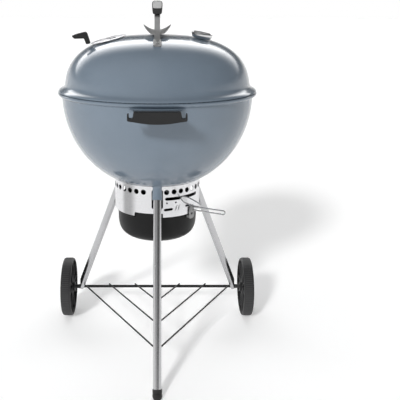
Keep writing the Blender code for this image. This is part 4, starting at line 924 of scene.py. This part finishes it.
def makeSweeper(size):
    level = ashRing["slotLevel"]
    low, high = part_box("sweeper_shaft")
    hub, radius = (high.x - low.x) / 2, size["shaft"]
    base = float(bowlHeight(0.017)) + size["bladeLift"] + 0.0005
    profile = [(0, low.z), (radius - 0.0006, low.z), (radius, low.z + 0.0006), (radius, base),
               (hub - 0.0006, base), (hub, base + 0.0006), (hub, base + 0.0044),
               (hub - 0.0016, base + 0.0060), (radius + 0.001, base + 0.0060), (radius, high.z - 0.001),
               (radius - 0.001, high.z), (0, high.z)]
    ready(turned("sweeperShaft", profile, stripSteel, steps=64, closed=False, smooth=35), "sweeper",
          "strap_steel", "sweeper_shaft")
    for number in range(size["blades"]):
        # each blade lies over the bowl's own curve and rises by lift; its sides are rolled up a little
        start = 0.0176
        run, across = np.meshgrid(np.linspace(0, 1, 30), np.linspace(-1, 1, 13), indexing="ij")
        along2 = start + run * (size["bladeReach"] - start)
        half = size["bladeWidth"] / 2 * (0.75 + 0.25 * along2 / size["bladeReach"])
        x = across * half
        z = bowlHeight(np.hypot(along2, x)) + size["bladeLift"]
        top = np.stack([x, -along2, z + size["thickness"]], -1)
        under = np.stack([x, -along2, z], -1)
        loop = np.concatenate([top, under[:, ::-1]], 1)
        ready(body(f"sweeperBlade_{number + 1}", loop, stripSteel, frame4=spin(number * 120)), "sweeper",
              "strap_steel", f"sweeper_blade_{number + 1}")
    near, slot = radius + size["wire"] + 0.0003, ashRing["radius"]
    shape = [(near, 0.0022), (0.070, 0.0022), (slot + 0.001, 0.0024), (0.140, 0.0052), (0.150, 0.0078),
             (0.163, 0.0106), (0.178, 0.0114), (0.195, 0.0110), (0.212, 0.0098), (0.226, 0.0085),
             (0.2325, 0.0068), (size["reach"] - 0.0002, 0.0036), (0.2325, 0.0002), (0.226, -0.0018),
             (0.212, -0.0044), (0.195, -0.0066), (0.178, -0.0080), (0.163, -0.0085), (0.150, -0.0078),
             (0.140, -0.0054), (slot + 0.001, -0.0024), (0.070, -0.0022), (near, -0.0022)]
    shape = curveThrough(shape, 110)
    path = around(size["angle"], shape[:, 0], level + shape[:, 1])
    sideways = around(size["angle"] + 90, 1.0, 0.0)
    ready(wire("sweeperHandle", path, size["wire"], sideways, springWire, sides=18), "sweeper",
          "zinc_wire", "sweeper_handle")


makeSweeper(sweeper)
print("sweeper made")

grates = {"radius": 0.2700, "wire": 0.0025, "pitch": 0.0150, "charcoalPitch": 0.0300}


def rodSet(lines, radius, sides=8):
    # many straight rods, each its own round wire with a ring of points at both ends
    pieces = []
    for start, end in lines:
        start, end = np.array(start, float), np.array(end, float)
        pieces.append(wire("rod", np.linspace(start, end, 3), radius, (0, 0, 1), grateWire, sides=sides))
    return pieces


def grateSection(name, radius, level, left, right, pitch, wireRadius, bars, bodyName, node):
    limit = lambda x: math.sqrt(max(radius**2 - x**2, 0))
    whole = left <= -radius and right >= radius
    if whole:
        turn = np.arange(160) * 2 * np.pi / 160
        outline = np.stack([radius * np.cos(turn), radius * np.sin(turn), np.full(160, level)], -1)
    else:
        first, last = math.asin(max(left / radius, -1)), math.asin(min(right / radius, 1))
        turn = np.linspace(first, last, 60)
        low = np.stack([radius * np.sin(turn), -radius * np.cos(turn), np.full(60, level)], -1)
        high = low[::-1] * (1, -1, 1)
        joinOne = np.linspace(low[-1], high[0], 8)[1:-1] if right < radius else high[:0]
        joinTwo = np.linspace(high[-1], low[0], 8)[1:-1] if left > -radius else high[:0]
        outline = np.vstack([low, joinOne, high, joinTwo])
        keep = np.linalg.norm(outline - np.roll(outline, 1, 0), axis=1) > 1e-5
        outline = outline[keep]
    frameWire = wire(name, outline, wireRadius, (0, 0, 1), grateWire, closed=True)
    count = max(round((min(right, radius) - max(left, -radius)) / pitch), 2)
    xs = [x for x in max(left, -radius) + np.arange(1, count) / count * (min(
        right, radius) - max(left, -radius)) if limit(x) > 0.03]
    pieces = [frameWire] + rodSet([((x, -limit(x) + 0.0005, level),
                                    (x, limit(x) - 0.0005, level)) for x in xs], wireRadius * 0.72)
    pieces += rodSet([((max(left, -limit(y)) + 0.0005, y, level - wireRadius * 1.15), (
        min(right, limit(y)) - 0.0005, y, level - wireRadius * 1.15)) for y in bars], wireRadius * 0.84)
    return ready(merge(name, pieces), bodyName, "grate_steel", node)


def makeGrates(size):
    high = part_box("charcoal_grate")[1]
    grateSection("charcoalGrate", high.x - 0.003, high.z - 0.003, -1, 1, size["charcoalPitch"], 0.0029,
                 (-0.1, 0.1), "stand", "charcoal_grate")
    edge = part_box("cooking_grate")[1].x - size["wire"]
    level = joints["flap_left_lift"]["pos_m"][2]
    grateSection("cookingGrate", size["radius"], level, -edge, edge, size["pitch"], size["wire"],
                 (-0.13, 0.13), "stand", "cooking_grate")
    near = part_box("grate_flap_right")[0].x + size["wire"]
    grateSection("grateFlapRight", size["radius"], level, near, 1, size["pitch"], size["wire"],
                 (-0.09, 0.09), "flap_right", "grate_flap_right")
    grateSection("grateFlapLeft", size["radius"], level, -1, -near, size["pitch"], size["wire"],
                 (-0.09, 0.09), "flap_left", "grate_flap_left")


makeGrates(grates)
print("grates made")

handles = {"depth": 0.0180, "top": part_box("front_handle")[1].z, "bottom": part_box("front_handle")[0].z,
           "half": 0.0580, "hook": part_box("front_handle")[1].x, "reach": -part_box("front_handle")[0].y,
           "bracketLevel": 0.7955, "bracketHalf": 0.0740, "bracketFront": 0.0510}


def barOutline(size, hooks):
    half, top, bottom, tip = size["half"], size["top"], size["bottom"], size["hook"]
    right = [(half * 0.90, top - 0.0012), (half * 0.955, top), (half, top - 0.0006),
             (half + 0.0008, top - 0.0040), (half + 0.0026, top - 0.0150)]
    if hooks:
        right += [(half + 0.0034, top - 0.0172), (half + 0.0060, top - 0.0178),
                  (tip - 0.0052, top - 0.0175), (tip - 0.0042, top - 0.0160),
                  (tip - 0.0038, top - 0.0058), (tip - 0.0004, top - 0.0058), (tip, top - 0.0200),
                  (tip - 0.0012, top - 0.0240)]
    else:
        right += [(half + 0.0030, top - 0.0230)]
    bow = np.linspace(0.96, -0.96, 25)
    base = np.stack([half * bow, bottom + (top - 0.0255 - bottom) * bow**2 * 0.9], -1)
    right = np.array(right)
    left = right[::-1] * (-1, 1)
    return rounded(np.vstack([right, base, left]), 0.0016, 4, True)


def makeHandle(name, angle, hooks):
    turn = spin(angle)
    face = turn @ move(0, -handles["reach"] + handles["depth"] / 2, 0) @ spin(90, "X")
    bar = slab(name + "Handle", barOutline(handles, hooks), handles["depth"], 0.0004, blackNylon, face,
               steps=4, smooth=40)
    ready(bar, "stand", "black_nylon", name + "_handle")
    wall, back = kettle["bowlRadius"] + 0.0003, handles["reach"] - handles["depth"] - 0.0003
    x = np.linspace(-handles["bracketHalf"], handles["bracketHalf"], 41)
    edge = np.stack([x, -np.sqrt(wall**2 - x**2)], -1)
    sideY = edge[-1, 1]
    s = np.linspace(0, 1, 16)[:, None]
    ease = s**0.55  # the shelf narrows quickly at the bowl and slowly at the bar
    flank = np.hstack([handles["bracketHalf"] - (handles["bracketHalf"] - handles["bracketFront"]) * ease,
                       sideY - 0.0030 + (-back - sideY + 0.0030) * s])
    outline = np.vstack([edge, flank, flank[::-1] * (-1, 1)])
    shelfPlate = slab(name + "Bracket", outline, 0.0024, 0.0006, slate,
                      turn @ move(0, 0, handles["bracketLevel"]))
    ready(shelfPlate, "stand", "slate_enamel", name + "_handle_bracket")


makeHandle("front", 0, True)
makeHandle("rear", 180, False)
print("bowl handles made")

grip = {"halfWidth": 0.0142, "halfLength": 0.1350, "top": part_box("lid_handle_grip")[1].z,
        "bottom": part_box("lid_handle_grip")[0].z, "strapWidth": 0.0155, "strapThickness": 0.0030,
        "stemY": 0.1180, "footWidth": 0.0220, "footNear": 0.1400, "footFar": 0.1860, "shieldHalf": 0.0400,
        "shieldLength": 0.1160, "shieldLevel": 0.9885}


def makeGrip(size):
    # a rounded block whose section is widest near its top and narrows to the strap
    tall, half = size["top"] - size["bottom"], size["halfWidth"]
    section = rounded([(-half * 0.86, 0), (half * 0.86, 0), (half, tall * 0.55), (half, tall * 0.86),
                       (half * 0.72, tall), (-half * 0.72, tall), (-half, tall * 0.86),
                       (-half, tall * 0.55)], 0.006, 7, True)
    length = size["halfLength"] - 0.0033
    y = np.linspace(-length, length, 60)
    path = np.stack([0 * y, y, 0 * y + size["bottom"]], -1)
    # the ends are eased in a quarter circle
    ends = np.array([0.0, 0.0006, 0.0018, 0.0032])
    path = np.vstack([path[:1], path[0] + np.outer(ends[1:], (0, 1, 0)), path[1:-1],
                      path[-1] - np.outer(ends[::-1][:-1], (0, 1, 0)), path[-1:]])
    middle = tall / 2
    section = section - (0, middle)
    path[:, 2] += middle
    easing = np.array([0.93, 0.965, 0.99, 1.0])
    scale = np.ones(len(path))
    scale[:4], scale[-4:] = easing, easing[::-1]
    bar = carried("lidGrip", path, section, (1, 0, 0), blackNylon, endScale=scale)
    ready(bar, "lid", "black_nylon", "lid_handle_grip")
    for side in ("front", "rear"):
        low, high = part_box("lid_handle_cap_" + side)
        wide, z0, z1 = (high.x - low.x) / 2, low.z - 0.001, high.z + 0.0025
        outline = rounded([(-wide * 0.94, z0), (wide * 0.94, z0), (wide * 1.04, z1 - 0.006),
                           (wide * 0.90, z1), (-wide * 0.90, z1),
                           (-wide * 1.04, z1 - 0.006)], 0.0035, 6, True)
        cap = slab("gripCap_" + side, outline, high.y - low.y, 0.0009, capMetal,
                   move(0, (low.y + high.y) / 2, 0) @ spin(90, "X"))
        ready(cap, "lid", "cap_grey", "lid_handle_cap_" + side)


def makeStrap(size):
    # one flat band: a foot riveted to the lid, a bend, a stem, the run under the grip, and the same again
    thickness = size["strapThickness"]
    lift = thickness / 2 + 0.0003
    footY = np.linspace(size["footFar"], size["footNear"], 12)
    foot = np.stack([footY, lidHeight(footY) + lift], -1)
    base = float(lidHeight(size["stemY"]))
    bend = curveThrough([
        foot[-1], (size["footNear"] - 0.006, float(lidHeight(size["footNear"] - 0.006)) + lift + 0.0012),
        (size["stemY"] + 0.006, base + 0.0100), (size["stemY"], base + 0.0210)], 16)[1:]
    stem = np.array([(size["stemY"], z) for z in np.linspace(base + 0.026, size["bottom"] - 0.0080, 8)])
    top = curveThrough([stem[-1], (size["stemY"] - 0.0020, size["bottom"] - 0.0034),
                        (size["stemY"] - 0.0080, size["bottom"] - 0.0003 - thickness / 2)], 8)[1:]
    half = np.vstack([foot, bend, stem, top])
    half = np.hstack([np.zeros((len(half), 1)), -half[:, :1], half[:, 1:]])
    path = np.vstack([half, half[::-1] * (1, -1, 1)])
    far = np.abs(path[:, 1])
    stemY, near, away = size["stemY"], size["footNear"], size["footFar"]
    places = [stemY, stemY + 0.008, near - 0.004, near + 0.004, away - 0.006, away]
    widths = [size["strapWidth"], size["strapWidth"], size["strapWidth"] * 1.12, size["footWidth"],
              size["footWidth"], size["footWidth"] * 0.72]
    wide = np.interp(far, places, widths) / 2
    tangent = np.gradient(path, axis=0)
    tangent /= np.linalg.norm(tangent, axis=1)[:, None]
    up = np.cross((1.0, 0, 0), tangent)
    grid = []
    for sideways, rise in ((-1, -0.6), (-1, 0.6), (-0.97, 1), (0.97, 1), (1, 0.6), (1, -0.6), (0.97, -1),
                           (-0.97, -1)):
        grid.append(path + np.array([1.0, 0, 0]) * (sideways * wide)[:, None] + up * rise * thickness / 2)
    strap = body("lidStrap", np.stack(grid, 1), stripSteel, smooth=35)
    studs = []
    for sign in (-1, 1):
        for y in (size["footFar"] - 0.012, size["footNear"] + 0.010):
            spot = Vector((0, sign * y, float(lidHeight(y)) + 2 * lift - 0.0006))
            slope = (float(lidHeight(y + 0.001)) - float(lidHeight(y - 0.001))) / 0.002
            studs.append(turned(
                "stud",
                [(0, 0), (0.0046, 0), (0.0046, 0.0008), (0.0036, 0.0022), (0.0018, 0.0028), (0, 0.0030)],
                stripSteel, steps=32, frame4=along(spot, (0, -sign * slope, 1)), closed=False))
    return ready(merge("lidStrap", [strap] + studs), "lid", "strap_steel", "lid_handle_strap")


def makeShield(size):
    # a crescent plate across the strap: its cross section is a smile, and it bows along its length
    u, v = np.meshgrid(np.linspace(-1, 1, 40), np.linspace(-1, 1, 33), indexing="ij")
    y = u * size["shieldLength"]
    half = size["shieldHalf"] * np.sqrt(1 - (u * 0.88) ** 2)
    x = v * half
    z = size["shieldLevel"] + 10.0 * x**2 - 0.70 * y**2
    top, under = np.stack([x, y, z + 0.0007], -1), np.stack([x, y, z - 0.0007], -1)
    shield = body("heatShield", np.concatenate([top, under[:, ::-1]], 1), stripSteel)
    return ready(shield, "lid", "strap_steel", "lid_heat_shield")


makeGrip(grip)
makeStrap(grip)
makeShield(grip)
print("lid handle made")

vent = {"radius": 0.0525, "thickness": 0.0014, "lift": 0.0030, "dish": 0.0022, "tabWidth": 0.0118,
        "tabHeight": 0.0360, "tabArm": 0.0480}


def makeVent(size):
    top = size["lift"] + 0.0016
    r = np.array([0.0036, 0.010, 0.018, 0.026, 0.034, 0.042, 0.048, 0.0510, size["radius"]])
    height = top - size["dish"] * (r / size["radius"]) ** 2
    height[-1] -= 0.0004
    disc = turned("ventDisc", thick(np.stack([r, height], -1), size["thickness"]), plateAluminium,
                  steps=120, frame4=damperFrame, smooth=35)
    cutters = [rodCutter(damperFrame, lid["ventHole"] - 0.0003, 0.02,
                         x=lid["ventCircle"] * math.cos(turn),
                         y=lid["ventCircle"] * math.sin(turn)) for turn in np.radians([0, 120, 240])]
    ready(carve(disc, cutters, smooth=30), "damper", "aluminium", "lid_damper")
    edge = top - size["dish"]
    root, tall, arm = size["radius"] + 0.0003, size["tabHeight"], size["tabArm"]
    outline = rounded([(root + 0.0004, edge - 0.0004), (root + 0.0135, edge - 0.0004),
                       (root + 0.0150, 0.0195), (root + arm - 0.0050, 0.0255),
                       (root + arm, tall - 0.0010), (root + arm * 0.72, tall + 0.0012),
                       (root + 0.0068, tall + 0.0012), (root + 0.0024, tall - 0.0020)], 0.0030, 6, True)
    tab = slab("ventTab", outline, size["tabWidth"], 0.0016, blackNylon, damperFrame @ spin(90, "X"),
               steps=4)
    ready(tab, "damper", "black_nylon", "lid_damper_tab")
    profile = [(0, -0.0078), (0.0029, -0.0078), (0.0029, top + 0.0004), (0.0073, top + 0.0004),
               (0.0075, top + 0.0008), (0.0066, top + 0.0018), (0.0040, top + 0.0024), (0, top + 0.0024)]
    ready(turned("ventRivet", profile, plateAluminium, steps=48, frame4=damperFrame, closed=False,
                 smooth=35), "lid", "aluminium", "lid_damper_rivet")


makeVent(vent)
print("vent made")

gauge = {"radius": 0.0305, "height": 0.0170, "wall": 0.0030, "recess": 0.0080, "probe": 0.0029,
         "probeLength": 0.0420}


def makeGauge(size):
    top = size["height"] + 0.0003
    floorLevel, inside, radius = top - size["recess"], size["radius"] - size["wall"], size["radius"]
    bore = size["probe"] + 0.0004
    profile = [(inside + 0.0002, top - 0.0010), (inside + 0.0010, top - 0.0002), (radius - 0.0018, top),
               (radius - 0.0006, top - 0.0010), (radius, top - 0.0026), (radius, top - 0.0075),
               (radius - 0.0016, top - 0.0090), (radius - 0.0022, 0.0052), (radius * 0.86, 0.0022),
               (radius * 0.76, 0.0008), (bore, 0.0008), (bore, floorLevel - 0.0014),
               (inside, floorLevel - 0.0014)]
    ready(turned("gaugeCase", profile, bezelChrome, steps=96, frame4=gaugeFrame, smooth=35), "lid",
          "chrome", "thermometer_case")
    face = [(0.0015, floorLevel), (inside - 0.0006, floorLevel), (inside - 0.0003, floorLevel - 0.0003),
            (inside - 0.0003, floorLevel - 0.0010), (0.0015, floorLevel - 0.0010)]
    dialPaint = dialFinish("dialPaint", gaugeFrame.to_translation(), gaugeFrame)
    ready(turned("gaugeDial", face, dialPaint, steps=96, frame4=gaugeFrame, smooth=35), "lid",
          "dial_white", "thermometer_dial")
    lens = [(0, top - 0.0018), (inside * 0.7, top - 0.0020), (inside - 0.0004, top - 0.0026),
            (inside - 0.0004, top - 0.0035), (0, top - 0.0034)]
    ready(turned("gaugeLens", lens, lensGlass, steps=96, frame4=gaugeFrame, closed=False, smooth=35),
          "lid", "lens", "thermometer_lens")
    probe = [(0, -size["probeLength"]), (size["probe"] * 0.6, -size["probeLength"] + 0.0004),
             (size["probe"], -size["probeLength"] + 0.0022), (size["probe"], floorLevel - 0.0016),
             (0, floorLevel - 0.0016)]
    ready(turned("gaugeProbe", probe, grateWire, steps=40, frame4=gaugeFrame, closed=False), "lid",
          "grate_steel", "thermometer_probe")
    hand = [(-0.0085, -0.0010), (-0.0060, -0.0013), (-0.0025, -0.0012), (-0.0016, -0.0019),
            (0.0, -0.0024), (0.0016, -0.0019), (0.0025, -0.0010), (0.0176, -0.0002), (0.0176, 0.0002),
            (0.0025, 0.0010), (0.0016, 0.0019), (0.0, 0.0024), (-0.0016, 0.0019), (-0.0025, 0.0012),
            (-0.0060, 0.0013), (-0.0085, 0.0010)]
    pointer = slab("gaugePointer", hand, 0.0007, 0.0001, blackNylon,
                   gaugeFrame @ move(0, 0, floorLevel + 0.0016) @ spin(-60), steps=2)
    ready(pointer, "pointer", "black_nylon", "thermometer_pointer")


makeGauge(gauge)
print("thermometer made")

for number in range(1, 5):
    tab = frame["nodes"][f"grate_tab_{number}"]
    tab.data.materials.clear()
    tab.data.materials.append(slate)

studio = {"reach": 90.0, "low": 1.0, "shade": 0.12, "left": 0.33, "band": 4.8, "sun": 2.2, "sunSize": 8.0,
          "sunFrom": (-0.594, -1.233, 0.780)}


def makeSky(size):
    # a dim room, brighter on the left, with a wide bright band overhead and behind that starts
    # sharply and fades upwards
    sky = Surround("surround")
    x, y, z = sky.split()
    rise = z + 0.34 * x * x
    fade = z + 0.75 * x * x
    band = rise.ramp(0.405, 0.435) * (1 - fade.ramp(0.50, 0.92)) * y.ramp(
        -0.40, 0.05) * (1 - 0.6 * x.ramp(0.1, 0.9)) * (1 - 0.85 * (x * x).ramp(0.45, 0.75))
    low = 1 - z.ramp(0.04, 0.20)
    side = (0 - x).ramp(-0.30, 0.25) * (1 - y.ramp(-0.2, 0.5))
    above = size["shade"] + size["left"] * side + size["band"] * band
    sky.set(Color=(1, 1, 1, 1), Strength=low * size["low"] + (1 - low) * above)
    bpy.context.scene.world = sky.world
    light = bpy.data.lights.new("keyLight", "SUN")
    light.energy, light.angle = size["sun"], math.radians(size["sunSize"])
    lamp = bpy.data.objects.new("keyLight", light)
    bpy.context.scene.collection.objects.link(lamp)
    lamp.matrix_world = along(Vector(size["sunFrom"]) * 3, size["sunFrom"])
    lamp.visible_glossy = False


def makeStudio(size):
    # one flat pale disc to the horizon: rings of points at radius size["reach"] s^3, closed at the middle
    ring = size["reach"] * np.linspace(0.02, 1, 40)[:, None] ** 3
    turn = np.linspace(0, 2 * np.pi, 97)[None, :-1]
    points = np.stack([ring * np.cos(turn), ring * np.sin(turn), 0 * ring * turn], -1)
    mesh = bpy.data.meshes.new("floor")
    mesh.from_pydata(points.reshape(-1, 3).tolist(), [],
                     gridFaces(40, 96, False, True).tolist() + [list(range(96))])
    mesh.shade_smooth()
    mesh.materials.append(paleFloor)
    floor = bpy.data.objects.new("floor", mesh)
    bpy.context.scene.collection.objects.link(floor)
    makeSky(size)
    bpy.context.scene.view_settings.view_transform = "Standard"


def makeCamera():
    view = bpy.data.cameras.new("camera")
    view.sensor_width, view.lens, view.shift_x, view.shift_y = 36, 55.46, 0.1068, -0.0875
    camera = bpy.data.objects.new("camera", view)
    bpy.context.scene.collection.objects.link(camera)
    camera.location = (0, -1.8529, 1.0431)
    camera.rotation_euler = (math.radians(90 - 14.04), 0, 0)
    bpy.context.scene.camera = camera


makeStudio(studio)
makeCamera()
print("studio made")
